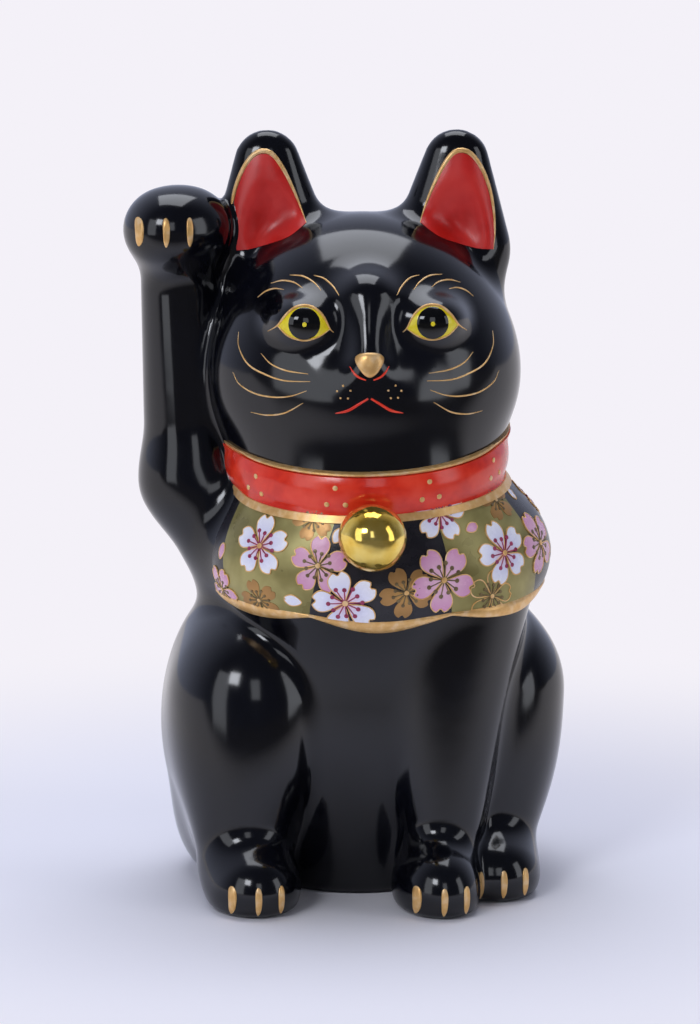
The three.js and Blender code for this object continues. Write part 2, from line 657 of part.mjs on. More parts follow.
function add(name, manifold, material) {
  const mesh = new THREE.Mesh(geometryOf(manifold), material);
  mesh.name = name;
  figurine.add(mesh);
}

add("body_casting", bodyCasting(), blackGlaze);
add("base_slab", baseSlab(), bareClay);
add("head_casting", headCasting(), blackGlaze);
add("raised_arm", raisedArm(), blackGlaze);
add("tail", tailPiece(), blackGlaze);
add("collar_band", collarBand(), collarRed);
add("collar_top_gilt", collarTop(), gilt);
add("collar_lower_gilt", collarBorder(), gilt);
add("bib", bibPiece(), bibEnamel);
add("bib_hem_gilt", bibHem(), gilt);
add("bell", bellPiece(), brightGilt);
add("nose_gilt", noseGilt(), gilt);
for (const side of [-1, 1]) {
  const name = earName(side);
  add(`${name}_ear`, earPiece(name, side), blackGlaze);
  add(`${name}_ear_enamel`, earEnamel(side), redEnamel);
  add(`${name}_ear_gilt`, earGilt(side), gilt);
  add(`${name}_eye_enamel`, eyeEnamel(side), yellowEnamel);
  add(`${name}_pupil`, pupil(side), blackGlaze);
  add(`${name}_upper_lid_gilt`, lidGilt(side, "upper"), gilt);
  add(`${name}_lower_lid_gilt`, lidGilt(side, "lower"), gilt);
  const mirrored = (places) => places.map(([x, z]) => [side * x, z]);
  add(`mouth_${name}_enamel`, lineOnHead(mirrored(MOUTH), 0.7, 6), redEnamel);
  WHISKERS.forEach((places, i) => {
    add(`${name}_whisker_${i + 1}`, lineOnHead(mirrored(places), LINE, 7), gilt);
  });
}
for (let i = 0; i < 3; i += 1) {
  const aside = (i - 1) * CLAW.pitch;
  add(`raised_claw_${i + 1}`, claw(arm, armSkin, pawAt.x - 1 + aside, pawAt.z + 1), gilt);
  add(`right_hind_claw_${i + 1}`, claw(body, bodySkin, -HIND_FOOT.x + aside, CLAW.height), gilt);
  add(`left_fore_claw_${i + 1}`, claw(body, bodySkin, FORELEG.x + aside, CLAW.height), gilt);
  add(`left_hind_claw_${i + 1}`, claw(body, bodySkin, HIND_FOOT.x + aside, CLAW.height), gilt);
}

// The origin is the middle of the box, on the ground.
const box = new THREE.Box3().setFromObject(figurine);
figurine.position.set(-(box.min.x + box.max.x) / 2, -(box.min.y + box.max.y) / 2, -box.min.z);

export default figurine;
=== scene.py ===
# %% [markdown]
# # A beckoning cat in black glaze
# A slip-cast porcelain cat, about 28 cm tall, with its right paw raised. The casting is dipped in
# black glaze and fired. Enamel and gold are then painted on and fired again: red ears, yellow
# eyes, a red collar with a gold bell, and a bib of cherry blossom.
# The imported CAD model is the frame: it gives the size and the place of everything below.

# %% Load the frame
import math
import bpy
import numpy as np
from mathutils import Matrix, Vector


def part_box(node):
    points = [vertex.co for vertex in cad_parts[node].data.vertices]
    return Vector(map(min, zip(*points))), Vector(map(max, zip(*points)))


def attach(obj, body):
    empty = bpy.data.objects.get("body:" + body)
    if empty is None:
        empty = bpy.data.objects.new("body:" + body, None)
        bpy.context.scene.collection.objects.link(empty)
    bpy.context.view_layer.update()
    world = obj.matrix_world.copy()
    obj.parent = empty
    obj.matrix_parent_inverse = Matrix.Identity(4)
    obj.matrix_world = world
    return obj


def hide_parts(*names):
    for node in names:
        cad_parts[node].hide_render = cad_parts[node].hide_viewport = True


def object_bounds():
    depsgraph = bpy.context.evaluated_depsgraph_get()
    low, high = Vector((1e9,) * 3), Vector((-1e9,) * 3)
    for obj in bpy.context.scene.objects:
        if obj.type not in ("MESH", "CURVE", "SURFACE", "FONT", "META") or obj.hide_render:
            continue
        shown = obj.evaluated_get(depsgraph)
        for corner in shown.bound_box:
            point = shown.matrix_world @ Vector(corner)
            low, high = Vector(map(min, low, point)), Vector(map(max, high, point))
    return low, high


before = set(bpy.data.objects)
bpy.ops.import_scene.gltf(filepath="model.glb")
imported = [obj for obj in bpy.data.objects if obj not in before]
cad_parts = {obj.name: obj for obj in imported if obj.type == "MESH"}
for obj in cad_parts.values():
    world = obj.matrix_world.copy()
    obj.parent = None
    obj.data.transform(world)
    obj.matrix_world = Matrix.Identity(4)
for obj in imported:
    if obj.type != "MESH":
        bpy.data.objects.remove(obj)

cad_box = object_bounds()
bpy.ops.object.select_all(action="DESELECT")
print("CAD box in mm:", [[round(1000 * c, 1) for c in corner] for corner in cad_box])

# %% [markdown]
# The shapes are worked out in millimetres round the cat's own middle plane. The raised arm makes
# the whole box lopsided, so the middle plane isn't at x = 0 of the frame: the base slab is
# symmetric, and its middle gives the plane.

# %% The middle plane of the cat
MM = 0.001
slab_low, slab_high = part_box("base_slab")
MIDDLE_X = 0.5 * (slab_low.x + slab_high.x) / MM
TALL = cad_box[1][2] / MM
print("middle plane at x =", round(MIDDLE_X, 2), "mm, height", round(TALL, 1), "mm")

# %% [markdown]
# ## The modelled masses
# A potter models the cat in clay as plain masses that run softly into each other: a ball for the
# head, a pear for the rump, long drops for the limbs. Each mass here is a distance field: a
# function that says how far a point is outside it, in millimetres, and less than 0 inside. Two
# fields are joined by a soft minimum, which leaves a fillet like a thumb drawn along the clay.
# Spheres joined by a remesh would give the same idea, but no control over each fillet's radius.


# %% Fields: an ellipsoid, a limb and the soft joins
def turned(yaw=0.0, pitch=0.0, roll=0.0):
    """A rotation, in degrees, about z, then x, then y."""
    y = Matrix.Rotation(math.radians(yaw), 3, "Z")
    x = Matrix.Rotation(math.radians(pitch), 3, "X")
    z = Matrix.Rotation(math.radians(roll), 3, "Y")
    return np.array(y @ x @ z, np.float32)


def ellipsoid(p, centre, radii, turn=None):
    q = p - np.array(centre, np.float32)
    if turn is not None:
        q = q @ turn
    r = np.array(radii, np.float32)
    reach = np.sqrt(np.sum((q / r) ** 2, -1))
    slope = np.sqrt(np.sum((q / (r * r)) ** 2, -1)) + 1e-9
    return reach * (reach - 1) / slope


def limb(p, a, b, radius_a, radius_b):
    """A round cone from a to b with a ball at each end."""
    a = np.array(a, np.float32)
    axis = np.array(b, np.float32) - a
    length = float(np.linalg.norm(axis))
    axis = axis / length
    slope = (radius_a - radius_b) / length
    across = math.sqrt(1 - slope * slope)
    q = p - a
    along = q @ axis
    out = np.sqrt(np.maximum(np.sum(q * q, -1) - along * along, 0))
    reach = along - out * slope / across
    side = out * across + along * slope - radius_a
    low = np.sqrt(out * out + along * along) - radius_a
    high = np.sqrt(out * out + (along - length) ** 2) - radius_b
    return np.where(reach < 0, low, np.where(reach > length, high, side))


def soft_join(a, b, k):
    h = np.maximum(k - np.abs(a - b), 0) / k
    return np.minimum(a, b) - h * h * k / 4


def soft_carve(a, cutter, k):
    return -soft_join(-a, cutter, k)


# %% [markdown]
# The head is a wide ball with full cheeks, a small muzzle and a straight bridge for the nose. It
# is turned 11.5 degrees to its right, towards the raised paw. Its parts are placed in the head's
# own frame: x to the cat's left, z up, and the face towards -y.

# %% The head and ears
NECK_MID = (0.0, -7.0, 159.0)
NECK_TILT = 7.0
HEAD_MID = np.array((0.0, -2.0, 196.0), np.float32)
HEAD_TURN = turned(yaw=-11.5)
NECK_ON_HEAD = (np.array(NECK_MID, np.float32) - HEAD_MID) @ HEAD_TURN


def on_head(p):
    return (p - HEAD_MID) @ HEAD_TURN


def head_field(p):
    q = on_head(p)
    d = ellipsoid(q, (0, 1, 2), (54.5, 45.5, 50.5))
    d = soft_join(d, ellipsoid(q, (0, -2.5, -9), (56.3, 45.5, 44)), 12)
    d = soft_join(d, ellipsoid(q, (0, -36, -10), (20, 17, 15)), 12)
    d = soft_join(d, limb(q, (0, -46.5, 5), (0, -38, 24), 8, 9.5), 11)
    for side in (-1, 1):
        d = soft_carve(d, ellipsoid(q, (side * 13.5, -58, 15), (5.5, 9.5, 9)), 12)
        d = soft_join(d, ellipsoid(q, (side * 22.7, -33.5, 17.3), (13, 14, 9.5)), 6)
    return soft_join(d, limb(q, (0, 0, -10), NECK_ON_HEAD, 44, 47), 10)


def ear_field(p, side):
    """A flattened horn with a shallow dish in its front."""
    q = on_head(p)
    flat = (q - np.array((0, 6, 0), np.float32)) * np.array((1, 1.7, 1), np.float32)
    d = limb(flat, (side * 34.6, 0, 70), (side * 32.7, 0, 38), 12, 22) / 1.3
    dish = ellipsoid(
        q, (side * 34.6, -30.5, 46), (20.5, 30.5, 34), turned(side * 6, -3, side * 4)
    )
    return soft_carve(d, dish, 3.5)


# %% [markdown]
# The body sits upright: a straight trunk, a chest that carries the bib, and a pear-shaped rump.
# Each hind leg is a thigh, a shank, a foot and the heel behind it. The left foreleg comes straight
# down from the shoulder. The right one is raised, so there is no right forefoot.


# %% The trunk, legs, arm and tail
def trunk_field(p):
    d = limb(p, NECK_MID, (0, 6, 9), 44, 39)
    d = soft_join(d, ellipsoid(p, (4, -15, 124), (62, 46, 37)), 16)
    return soft_join(d, ellipsoid(p, (0, 18, 70), (55, 56, 68)), 24)


def haunch_field(p, side):
    d = ellipsoid(p, (side * 43, 4, 62), (31, 44, 52), turned(pitch=-12, roll=-side * 4))
    foot_x = 40.5 if side > 0 else -50.0
    shank = limb(p, (side * 47, -15, 74), (foot_x + side * 2, -27, 18), 24, 16)
    d = soft_join(d, shank, 14)
    d = soft_join(d, ellipsoid(p, (foot_x, -37, 8), (17.5, 22, 16.5)), 8)
    return soft_join(d, ellipsoid(p, (side * 45, 14, 20), (21, 34, 24)), 14)


def foreleg_field(p):
    d = limb(p, (19.5, -44, 22), (25, -27, 106), 13.5, 30)
    return soft_join(d, ellipsoid(p, (14.5, -54, 8), (15.8, 22, 17)), 8)


def body_field(p):
    d = trunk_field(p)
    d = soft_join(d, haunch_field(p, -1), 5)
    d = soft_join(d, haunch_field(p, 1), 5)
    return soft_join(d, foreleg_field(p), 6)


def arm_field(p):
    d = limb(p, (-59.6, 15.2, 150), (-65, 15.5, 236), 18.3, 14)
    d = soft_join(d, limb(p, (-59.6, 15.2, 150), (-40, 7, 122), 18.3, 23), 10)
    paw = ellipsoid(p, (-70, 7, 243), (16.8, 18, 15.6), turned(yaw=-10))
    paw = soft_join(paw, ellipsoid(p, (-60, 9, 243), (13, 14, 13.5)), 8)
    return soft_join(d, paw, 8)


def tail_field(p):
    d = limb(p, (8, 55, 15), (34, 62, 16), 12, 12)
    d = soft_join(d, limb(p, (34, 62, 16), (50, 53, 22), 12, 11), 6)
    return soft_join(d, limb(p, (50, 53, 22), (56, 40, 36), 11, 10), 6)


def skull_field(p):
    """The head with both ears."""
    ears = np.minimum(ear_field(p, -1), ear_field(p, 1))
    return soft_join(head_field(p), ears, 9)


def figure_field(p):
    """The whole cat, cut flat at the floor, with the recess that the base slab fills."""
    d = soft_join(body_field(p), tail_field(p), 5)
    d = soft_join(d, arm_field(p), 10)
    d = soft_join(skull_field(p), d, 5)
    d = soft_carve(d, p[..., 2], 3)
    recess = np.maximum(trunk_field(p) + 4.5, p[..., 2] - 5.3)
    return np.maximum(d, -recess)

# %% [markdown]
# ## From a field to a skin
# The field is sampled on a grid of small cubes. A cube that the surface crosses gets one vertex,
# and each crossed grid line gets one face that joins the four cubes round it. Each vertex is then
# slid along the field's slope until it lies on the surface, and the slope itself is kept as the
# vertex normal, so a glossy glaze reflects without facets.


# %% Sample, net and slide
def slope_of(field, p, step=0.25):
    g = np.zeros_like(p)
    for k in range(3):
        d = np.zeros(3, np.float32)
        d[k] = step
        g[:, k] = (field(p + d) - field(p - d)) / (2 * step)
    return g


def unit(v):
    return v / np.maximum(np.linalg.norm(v, axis=-1, keepdims=True), 1e-9)


def net(values, low, step):
    """One vertex for each crossed cube, and one quad for each crossed grid line."""
    inside = values < 0
    cells = tuple(n - 1 for n in values.shape)
    total = np.zeros(cells + (3,), np.float32)
    count = np.zeros(cells, np.float32)
    crossings = []
    for axis in range(3):
        near = np.take(values, range(values.shape[axis] - 1), axis)
        far = np.take(values, range(1, values.shape[axis]), axis)
        crossed = (near < 0) != (far < 0)
        share = np.where(crossed, near / np.where(near == far, 1, near - far), 0)
        crossings.append(crossed)
        others = [k for k in range(3) if k != axis]
        for du in (0, 1):
            for dv in (0, 1):
                window = [slice(None)] * 3
                window[others[0]] = slice(du, values.shape[others[0]] - 1 + du)
                window[others[1]] = slice(dv, values.shape[others[1]] - 1 + dv)
                here = crossed[tuple(window)]
                count += here
                total[..., axis] += share[tuple(window)] * here
                total[..., others[0]] += here * du
                total[..., others[1]] += here * dv
    used = count > 0
    number = -np.ones(cells, np.int64)
    number[used] = np.arange(used.sum())
    points = (np.argwhere(used) + total[used] / count[used][:, None]) * step + low
    quads = []
    for axis in range(3):
        u, v = (axis + 1) % 3, (axis + 2) % 3
        window = [slice(None)] * 3
        window[u] = slice(1, -1)
        window[v] = slice(1, -1)
        at = np.argwhere(crossings[axis][tuple(window)])
        at[:, u] += 1
        at[:, v] += 1
        corners = []
        for du, dv in ((-1, -1), (0, -1), (0, 0), (-1, 0)):
            cell = at.copy()
            cell[:, u] += du
            cell[:, v] += dv
            corners.append(number[tuple(cell.T)])
        quad = np.stack(corners, 1)
        leaving = inside[tuple(at.T)]
        quad[~leaving] = quad[~leaving][:, ::-1]
        quads.append(quad)
    return points.astype(np.float32), np.concatenate(quads)


def skin_of(field, low, high, step):
    axes = [np.arange(low[k], high[k] + step, step, dtype=np.float32) for k in range(3)]
    layer = np.stack(np.meshgrid(axes[1], axes[2], indexing="ij"), -1)
    values = np.empty([len(a) for a in axes], np.float32)
    for i, x in enumerate(axes[0]):
        across = np.full(layer.shape[:2] + (1,), x, np.float32)
        values[i] = field(np.concatenate((across, layer), -1))
    points, quads = net(values, np.array(low, np.float32), step)
    for _ in range(2):
        g = slope_of(field, points)
        steep = np.maximum(np.sum(g * g, -1), 0.05)
        points = points - (field(points) / steep)[:, None] * g
    return points, quads, unit(slope_of(field, points))


def meet(field, start, direction, offset=0.0, steps=60):
    """Walks rays from start along direction to the skin that stands offset outside a field."""
    start = np.asarray(start, np.float32).reshape(-1, 3)
    direction = np.broadcast_to(np.asarray(direction, np.float32), start.shape)
    t = np.zeros(len(start), np.float32)
    for _ in range(steps):
        t += 0.85 * (field(start + t[:, None] * direction) - offset)
    return start + t[:, None] * direction

# %% [markdown]
# ## Finishes
# The cat has only a few finishes: black glaze, red and yellow enamel, dull gilt, bright gilt, the
# lustre ground of the bib, blossom enamels, and the bare clay under the foot. Each is a node
# material on Object coordinates, so its pattern is fixed to the piece and keeps its real size.


# %% Colours and nodes
def linear(code):
    """An sRGB hex colour as linear values."""
    parts = [int(code[i : i + 2], 16) / 255 for i in (1, 3, 5)]
    return [c / 12.92 if c <= 0.04045 else ((c + 0.055) / 1.055) ** 2.4 for c in parts] + [1.0]


def add_node(tree, kind, settings=(), sockets=(), links=()):
    """Adds a node, sets its settings and sockets, and links other nodes' outputs to it."""
    node = tree.nodes.new(kind)
    for key, value in dict(settings).items():
        setattr(node, key, value)
    for key, value in dict(sockets).items():
        node.inputs[key].default_value = value
    for key, source in dict(links).items():
        tree.links.new(source, node.inputs[key])
    return node


def finish(name, colours, patch, rough, relief=None, shader=(), by=None):
    """A surface whose colour drifts between two or three colours over patches of a real size in
    mm, whose roughness drifts between two values, and whose relief is (size mm, height mm)."""
    made = bpy.data.materials.new(name)
    made.use_nodes = True
    tree = made.node_tree
    tree.nodes.clear()
    place = add_node(tree, "ShaderNodeTexCoord").outputs["Object"]
    drift = add_node(
        tree,
        "ShaderNodeTexNoise",
        sockets={"Scale": 1 / (patch * MM), "Detail": 3.0, "Roughness": 0.5},
        links={"Vector": place},
    ).outputs["Fac"]
    share = drift
    if by:
        share = add_node(tree, "ShaderNodeAttribute", {"attribute_name": by}).outputs["Fac"]
    ramp = add_node(tree, "ShaderNodeValToRGB", links={"Fac": share})
    low, high = (0.0, 1.0) if by else (0.35, 0.65)
    ramp.color_ramp.elements[0].position = low
    ramp.color_ramp.elements[1].position = high
    ramp.color_ramp.elements[0].color = linear(colours[0])
    ramp.color_ramp.elements[1].color = linear(colours[-1])
    if len(colours) == 3:
        ramp.color_ramp.elements.new((low + high) / 2).color = linear(colours[1])
    gloss = add_node(
        tree,
        "ShaderNodeMapRange",
        sockets={"From Min": 0.35, "From Max": 0.65, "To Min": rough[0], "To Max": rough[1]},
        links={"Value": drift},
    ).outputs["Result"]
    surface = add_node(
        tree,
        "ShaderNodeBsdfPrincipled",
        sockets=dict(shader),
        links={"Base Color": ramp.outputs["Color"], "Roughness": gloss},
    )
    if relief:
        size, height = relief
        grain = add_node(
            tree,
            "ShaderNodeTexNoise",
            sockets={"Scale": 1 / (size * MM), "Detail": 2.0},
            links={"Vector": place},
        ).outputs["Fac"]
        bump = add_node(
            tree,
            "ShaderNodeBump",
            sockets={"Strength": 1.0, "Distance": height * MM},
            links={"Height": grain},
        ).outputs["Normal"]
        tree.links.new(bump, surface.inputs["Normal"])
    add_node(tree, "ShaderNodeOutputMaterial", links={"Surface": surface.outputs["BSDF"]})
    return made


# %% [markdown]
# The glaze is a black iron and manganese glaze, dipped and fired to glass: near black with a cold
# cast, a clear gloss, and a very slow ripple where it ran. The enamels are softer, low-fired
# glass. The gilt is burnished by hand, so it drifts between bright and dull; the bell is liquid
# bright gold, which is a mirror. A metal keeps the default IOR and takes its colour from its base.

# %% The cat's finishes
glaze = finish(
    "black_iron_glaze",
    ["#050509", "#090A11"],
    patch=30,
    rough=(0.1, 0.14),
    relief=(28, 0.16),
    shader={"IOR": 1.52},
)
ear_red = finish(
    "ear_red_enamel",
    ["#B81A12", "#C7221C", "#D02C23"],
    patch=14,
    rough=(0.3, 0.38),
    relief=(5, 0.03),
    shader={"IOR": 1.5},
)
collar_red = finish(
    "collar_red_enamel",
    ["#D42A18", "#E6371F", "#EE452C"],
    patch=11,
    rough=(0.14, 0.24),
    relief=(4, 0.03),
    shader={"IOR": 1.5},
)
yellow = finish(
    "yellow_enamel",
    ["#D8B90E", "#E8D21B", "#EEDB35"],
    patch=5,
    rough=(0.12, 0.2),
    relief=(3, 0.02),
    shader={"IOR": 1.5},
)
pupil_black = finish(
    "pupil_black_enamel",
    ["#040405", "#0A0A0A"],
    patch=4,
    rough=(0.05, 0.08),
    shader={"IOR": 1.5},
)
gilt = finish(
    "burnished_gilt",
    ["#E3B06A", "#ECBD7A", "#F3CD98"],
    patch=3,
    rough=(0.3, 0.42),
    relief=(1.2, 0.015),
    shader={"Metallic": 0.5},
)
bright_gilt = finish(
    "liquid_bright_gold",
    ["#E2B644", "#EFC95C", "#F6D878"],
    patch=9,
    rough=(0.08, 0.14),
    relief=(7, 0.12),
    shader={"Metallic": 0.88},
)
olive = finish(
    "olive_gold_lustre",
    ["#7E7440", "#948A52", "#ABA066"],
    patch=16,
    rough=(0.26, 0.38),
    relief=(1.5, 0.01),
    shader={"Metallic": 0.35},
)
bib_black = finish(
    "bib_black_enamel",
    ["#17151A", "#201D23"],
    patch=10,
    rough=(0.22, 0.32),
    relief=(1.5, 0.01),
    shader={"IOR": 1.5},
)
white_petal = finish(
    "white_blossom_enamel",
    ["#E9B9CB", "#E4E3F6", "#F7F6FC"],
    patch=3,
    rough=(0.2, 0.3),
    relief=(1, 0.01),
    shader={"IOR": 1.5},
    by="tint",
)
pink_petal = finish(
    "pink_blossom_enamel",
    ["#EFC4D4", "#E5B0C8", "#D492B8"],
    patch=3,
    rough=(0.2, 0.3),
    relief=(1, 0.01),
    shader={"IOR": 1.5},
    by="tint",
)
gold_petal = finish(
    "brown_gold_blossom",
    ["#C79A52", "#B88A50", "#A67C48"],
    patch=3,
    rough=(0.3, 0.4),
    relief=(1, 0.01),
    shader={"Metallic": 0.4},
    by="tint",
)
stamen_red = finish(
    "stamen_crimson_enamel",
    ["#8A2347", "#A8375E"],
    patch=2,
    rough=(0.25, 0.35),
    shader={"IOR": 1.5},
)
stamen_grey = finish(
    "stamen_bronze_lustre",
    ["#6B5A3C", "#8A7650"],
    patch=2,
    rough=(0.3, 0.4),
    shader={"Metallic": 0.4},
)
clay = finish(
    "bare_porcelain_clay",
    ["#CFC3AE", "#DED4C2", "#E6DDCD"],
    patch=4,
    rough=(0.75, 0.9),
    relief=(0.6, 0.08),
    shader={"IOR": 1.5},
)
print(len(bpy.data.materials), "materials")

# %% [markdown]
# ## From numbers to pieces
# One helper turns points and faces into a piece: it moves them from the cat's middle plane into
# the frame, gives the finish, smooths the shading, and hides the CAD nodes that the piece stands for.
# A sheaf of small marks, such as the stamens, is gathered into one piece the same way.


# %% Make a piece
def to_frame(points):
    return (np.asarray(points, np.float64) + (MIDDLE_X, 0.0, 0.0)) * MM


def piece(name, points, faces, material, nodes=(), normals=None, tint=None, sharp=40):
    mesh = bpy.data.meshes.new(name)
    mesh.from_pydata(to_frame(points).tolist(), [], [list(map(int, f)) for f in faces])
    mesh.validate()
    made = bpy.data.objects.new(name, mesh)
    bpy.context.scene.collection.objects.link(made)
    mesh.materials.append(material)
    if tint is not None:
        mark = mesh.attributes.new("tint", "FLOAT", "POINT")
        mark.data.foreach_set("value", np.asarray(tint, np.float32))
    settle(made, nodes, sharp if normals is None else None)
    if normals is not None:
        mesh.shade_smooth()
        mesh.normals_split_custom_set_from_vertices(np.asarray(normals, np.float64).tolist())
    return made


def settle(made, nodes=(), sharp=40):
    """Rides the piece and hides the CAD nodes that it stands for."""
    if sharp is not None:
        bpy.ops.object.select_all(action="DESELECT")
        made.select_set(True)
        bpy.context.view_layer.objects.active = made
        bpy.ops.object.shade_smooth_by_angle(angle=math.radians(sharp))
        made.select_set(False)
    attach(made, "root")
    if nodes:
        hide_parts(*nodes)


class Sheaf:
    """Many small closed bodies gathered into one mesh."""

    def __init__(self):
        self.points = []
        self.faces = []
        self.tint = []

    def add(self, points, faces, tint=0.0):
        start = len(self.tint)
        self.points.extend(np.asarray(points).tolist())
        self.faces.extend([[start + i for i in f] for f in faces])
        self.tint.extend(np.broadcast_to(tint, len(points)).tolist())

    def finish(self, name, material, slot, nodes=(), sharp=40):
        made = piece(name, self.points, self.faces, material, nodes, None, self.tint, sharp)
        print(name, len(self.faces), "faces")
        return made

# %% [markdown]
# ## The castings
# Liquid clay is poured into plaster moulds, left until a wall of about 4.5 mm has set, and
# drained. The head, ears, arm, body and tail come from separate moulds and are stuck together with
# slip, which is wiped smooth before glazing. So they are one continuous skin here, shared out
# between the pieces, and each piece gets its own inner wall and a rim where it meets the next.

# %% One skin, shared between six castings
STEP = 1.7
low_corner = (-96.0, -84.0, -3.0)
high_corner = (84.0, 88.0, TALL + 6)
skin, quads, normals = skin_of(figure_field, low_corner, high_corner, STEP)
skin[:, 2] = np.maximum(skin[:, 2], 0)
print("skin:", len(skin), "points,", len(quads), "quads")
WALL = 4.0
castings = {
    "head_casting": head_field,
    "right_ear": lambda p: ear_field(p, -1) + 1.5,
    "left_ear": lambda p: ear_field(p, 1) + 1.5,
    "raised_arm": arm_field,
    "body_casting": body_field,
    "tail": tail_field,
}
distance = np.stack([field(skin) for field in castings.values()], 1)
owner = np.argmin(distance, 1)
quad_owner = np.sort(owner[quads], 1)[:, 2]


def shell(faces, points, normals, wall):
    """Closes some faces of a skin: an inner wall behind them and a rim round their edge."""
    used, faces = np.unique(faces, return_inverse=True)
    faces = faces.reshape(-1, 4)
    outer = points[used]
    inner = outer - normals[used] * wall
    inner[:, 2] = np.maximum(inner[:, 2], 0.5)
    count = len(used)
    edges = np.concatenate([faces[:, [k, (k + 1) % 4]] for k in range(4)])
    keys = edges[:, 0] * count + edges[:, 1]
    backs = edges[:, 1] * count + edges[:, 0]
    rim = edges[~np.isin(keys, backs)]
    walls = np.stack((rim[:, 1], rim[:, 0], rim[:, 0] + count, rim[:, 1] + count), 1)
    every = np.concatenate((faces, faces[:, ::-1] + count, walls))
    way = np.concatenate((normals[used], -normals[used]))
    return np.concatenate((outer, inner)), every, way


for index, name in enumerate(castings):
    points, faces, way = shell(quads[quad_owner == index], skin, normals, WALL)
    piece(
        name + "_glazed", points, faces, glaze, [name], normals=way
    )
    print(name, 2 * len(faces), "triangles")

# %% [markdown]
# Under the foot, the hollow is closed by a flat slab of bare clay, set in flush with the foot rim,
# with a round vent that let the air out in the kiln. It follows the inside of the trunk, so its
# outline is read from the trunk's field, and it is drawn as a ring round the vent.

# %% Base slab
VENT_RADIUS, VENT_Y, SLAB_THICK = 6.0, 10.0, 5.0
turns = np.linspace(0, 2 * math.pi, 97)[:-1]
ray = np.stack((np.cos(turns), np.sin(turns), 0 * turns), 1).astype(np.float32)
vent = np.array((0, VENT_Y, 0), np.float32)
edge = meet(trunk_field, vent + ray * 90 + (0, 0, 3), -ray, -4.8)
rings = []
for z, inset in ((0.2, 0.6), (0.8, 0.0), (SLAB_THICK, 0.0)):
    rings.append(edge * (1, 1, 0) - ray * inset + (0, 0, z))
for z, wider in ((SLAB_THICK, 0.0), (0.8, 0.0), (0.2, 0.6)):
    rings.append(vent + ray * (VENT_RADIUS + wider) + (0, 0, z))
count = len(turns)
faces = []
for k in range(len(rings)):
    a, b = k * count, (k + 1) % len(rings) * count
    faces += [(a + i, a + (i + 1) % count, b + (i + 1) % count, b + i) for i in range(count)]
piece("foot_slab", np.concatenate(rings), faces, clay, ["base_slab"], sharp=30)
print("foot slab", len(faces), "faces")

# %% [markdown]
# ## Marks that lie on the skin
# Enamel and gilt are painted on the fired glaze and stand a few tenths of a millimetre proud. Two
# helpers draw them: a pad fills an outline with a low cushion, and a stroke lays a half-round line
# along points. Both are drawn flat and then dropped on the skin along rays, as a decal is, so they
# follow every curve under them. Each is a closed body whose back is sunk in the glaze.


# %% Curves, pads and strokes
def curve_through(points, count, closed=False):
    """A smooth curve through the points, as evenly spaced points."""
    p = np.asarray(points, float)
    if closed:
        p = np.concatenate((p[-1:], p, p[:2]))
    else:
        p = np.concatenate((2 * p[:1] - p[1:2], p, 2 * p[-1:] - p[-2:-1]))
    t = np.linspace(0, 1, 13)[:-1, None]
    spans = []
    for a, b, c, d in zip(p, p[1:], p[2:], p[3:]):
        bend = (2 * a - 5 * b + 4 * c - d) * t**2 + (3 * b - a - 3 * c + d) * t**3
        spans.append(0.5 * (2 * b + (c - a) * t + bend))
    fine = np.concatenate(spans + [p[-2:-1]])
    run = np.concatenate(([0], np.cumsum(np.linalg.norm(np.diff(fine, axis=0), axis=1))))
    want = np.linspace(0, run[-1], count + 1 if closed else count)
    even = np.stack([np.interp(want, run, fine[:, k]) for k in range(fine.shape[1])], 1)
    return even[:-1] if closed else even


def pad(outline, drop, thick, rings=4, lift=0.0, centre=None, sunk=0.5):
    """A low cushion inside a closed flat outline. drop puts flat points on the skin."""
    outline = np.asarray(outline, float)
    middle = outline.mean(0) if centre is None else np.asarray(centre, float)
    count = len(outline)
    shares = np.linspace(0, 1, rings + 1)[1:] ** 0.8
    flat = np.concatenate([middle[None]] + [middle + s * (outline - middle) for s in shares])
    on, way = drop(flat)
    swell = np.concatenate(([1.0], np.repeat(np.sqrt(1 - 0.85 * shares**6), count)))
    top = on + way * (lift + thick * swell)[:, None]
    back = on - way * sunk
    total = len(flat)
    faces = []
    for i in range(count):
        j = (i + 1) % count
        faces.append((0, 1 + i, 1 + j))
        faces.append((total, total + 1 + j, total + 1 + i))
        for r in range(rings - 1):
            a, b = 1 + r * count, 1 + (r + 1) * count
            faces.append((a + i, b + i, b + j, a + j))
            faces.append((total + a + j, total + b + j, total + b + i, total + a + i))
        a = 1 + (rings - 1) * count
        faces.append((a + i, total + a + i, total + a + j, a + j))
    return np.concatenate((top, back)), faces, np.concatenate((flat, flat))


def facing(points, faces, ways):
    """Turns the faces round where they look into the skin."""
    p = np.asarray(points)
    f = faces[0]
    across = np.cross(p[f[1]] - p[f[0]], p[f[2]] - p[f[0]])
    return faces if across @ ways > 0 else [tuple(reversed(g)) for g in faces]


